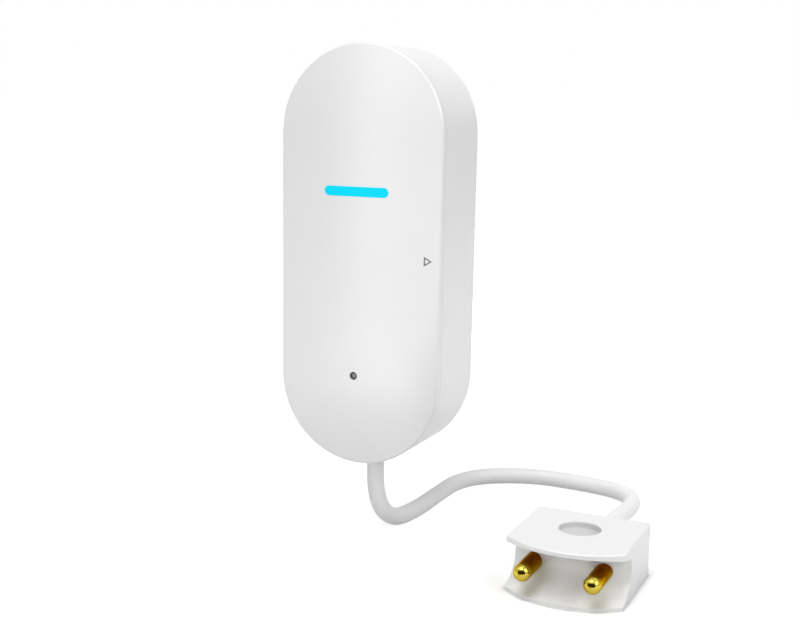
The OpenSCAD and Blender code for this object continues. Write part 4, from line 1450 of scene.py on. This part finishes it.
@dataclass
class PowerCell(SubAssembly):
    """Lithium cell in its sleeve, between two spring contacts."""

    axis_depth: float = -10.55
    radius: float = 7.27
    low: float = -17.32
    high: float = 6.92
    lip: float = 5.7
    corner: float = 0.35
    film: float = 0.08
    FINISHES: ClassVar[Mapping[str, Finish]] = dict.fromkeys(
        ("battery_cell", "battery_positive_contact", "battery_spring_contact"), STEEL_SHEET
    )

    def build(self) -> None:
        """Draw the sleeve over the can: a straight side, quarter-round corners and lips over both ends."""
        ease = np.linspace(0.0, np.pi / 2, 6)
        r, c = self.radius, self.corner
        low_corner = np.stack([r - c + c * np.sin(ease), self.low + c - c * np.cos(ease)], axis=1)
        high_corner = np.stack([r - c + c * np.cos(ease), self.high - c + c * np.sin(ease)], axis=1)
        outer = np.vstack([[[self.lip, self.low]], low_corner, high_corner, [[self.lip, self.high]]])
        middle = (self.low + self.high) / 2
        inner = outer[::-1].copy()
        inner[:, 0] = np.minimum(inner[:, 0], r - self.film)
        inner[:, 1] -= self.film * np.sign(inner[:, 1] - middle)
        axis = np.array([[0.0, self.axis_depth, 0.0]])
        points = turned(np.vstack([outer, inner]), axis, Axis.UP, sides=72)
        sleeve = make_piece("cell_sleeve", points, Body.HOUSING, CELL_BLUE, closed=(True, True))


@dataclass
class CableEntry(SubAssembly):
    """Inner end of the cable: grommet, clamp, the two leads and their plug on the board."""

    lead_pitch: float = 1.6
    cable_depth: float = -10.3
    sheath_end: float = -32.354
    lead_straight: float = -31.554
    lead_bend: Point = (0.6, -9.95, -0.6)
    plug_reach: Pair = (3.2, 4.4)
    plug_depth: float = -9.6
    plug_height: float = -28.954
    lead_guide: Point = (0.0, 1.0, 0.0)
    pin_x: float = 12.35
    joint: Pair = (0.55, 0.4)
    pin_share: float = 0.3
    pin_stub: float = 0.12
    FINISHES: ClassVar[Mapping[str, Finish]] = {
        "cable_grommet": WHITE_RUBBER,
        "cable_tail": WHITE_RUBBER,
        "cable_clamp": WHITE_SHELL,
        "clamp_screws": STEEL_SCREW,
        "wire_header": NYLON,
        "wire_plug": NYLON,
    }

    def build(self) -> None:
        """Make the two leads and the header's solder joints."""
        self.lead("lead_red", 1.0, WIRE_RED)
        self.lead("lead_black", -1.0, WIRE_BLACK)
        self.joints()

    def lead(self, name: str, side: float, finish: Finish) -> None:
        """Make one lead from the cable's end to the plug.

        Args:
            name: Name of the piece.
            side: +1 for the lead on the right of the cable's end, -1 for the left one.
            finish: Its insulation.
        """
        off = side * self.lead_pitch / 2
        level = self.plug_height - off
        bend_x, bend_depth, bend_rise = self.lead_bend
        route = [[off, self.cable_depth, height] for height in (self.sheath_end, self.lead_straight)]
        route += [[off + bend_x, bend_depth, level + bend_rise]]
        route += [[reach, self.plug_depth, level] for reach in self.plug_reach]
        wire = make_lead(name, np.array(route), self.lead_guide, finish)
        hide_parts("lead_wires")

    def joints(self) -> None:
        """Set a cone of solder at each of the header's two pins.

        With s the share of its height, its radius is r (p + (1 - p) (1 - s)^2), p being the pin's share.
        """
        radius, rise = self.joint
        pin, tip = self.pin_share, rise + self.pin_stub
        share = np.linspace(1.0, 0.0, 8)
        cone = np.stack([radius * (pin + (1 - pin) * (1 - share) ** 2), rise * share], axis=1)
        profile = np.vstack([[[0.0, tip], [pin * radius, tip]], cone])
        feet = [[self.pin_x, BOARD_FRONT, self.plug_height + s * self.lead_pitch / 2] for s in BOTH_SIDES]
        points = turned(profile, np.array(feet), Axis.FRONT, sides=24)
        joints = make_piece("header_joints", points, Body.HOUSING, TIN)


@dataclass
class FloorProbe(SubAssembly):
    """Probe block with its two pins, on the floor at the cable's far end."""

    origin: Point = (48.0, -17.7, -61.0)
    lead_route: tuple[Point, ...] = (
        (0.8, 6.4, 5.0), (0.8, 5.8, 5.0), (4.533, 4.4, 5.0),
        (6.8, 1.241, 5.7), (6.8, 0.241, 5.7), (6.8, -0.759, 5.7),
    )
    lead_guide: Point = (0.0, 0.0, 1.0)
    FINISHES: ClassVar[Mapping[str, Finish]] = {
        "probe_body": PROBE_WHITE,
        "probe_base_plate": PROBE_WHITE,
        "probe_pin_left": PIN_GOLD,
        "probe_pin_right": PIN_GOLD,
        "probe_bush": WHITE_RUBBER,
    }

    def leads(self) -> list[bpy.types.Object]:
        """Make the two leads inside the probe, from the cable's end to the pins.

        Returns:
            The right and the left lead.
        """
        made = []
        for side, name, finish in ((1.0, "probe_lead_red", WIRE_RED), (-1.0, "probe_lead_black", WIRE_BLACK)):
            route = np.array(self.lead_route) * (side, 1.0, 1.0) + np.array(self.origin)
            lead = make_lead(name, route, self.lead_guide, finish)
            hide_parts("probe_leads")
            made.append(lead)
        return made


def main() -> None:
    """Build the camera, the cable, the studio and each sub-assembly."""
    logging.basicConfig(level=logging.INFO, format="%(name)s: %(message)s")
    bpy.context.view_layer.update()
    PhotoCamera().build()
    probe = FloorProbe()
    CableRun().build(probe.leads())
    Studio().build()
    inside = (PairingButton(), ControlBoard(), PowerCell(), CableEntry())
    for assembly in (Housing(), StatusLight(), *inside, probe):
        LOG.info("sub-assembly %s", type(assembly).__name__)
        assembly.dress()
        assembly.build()


if __name__ == "__main__":
    main()
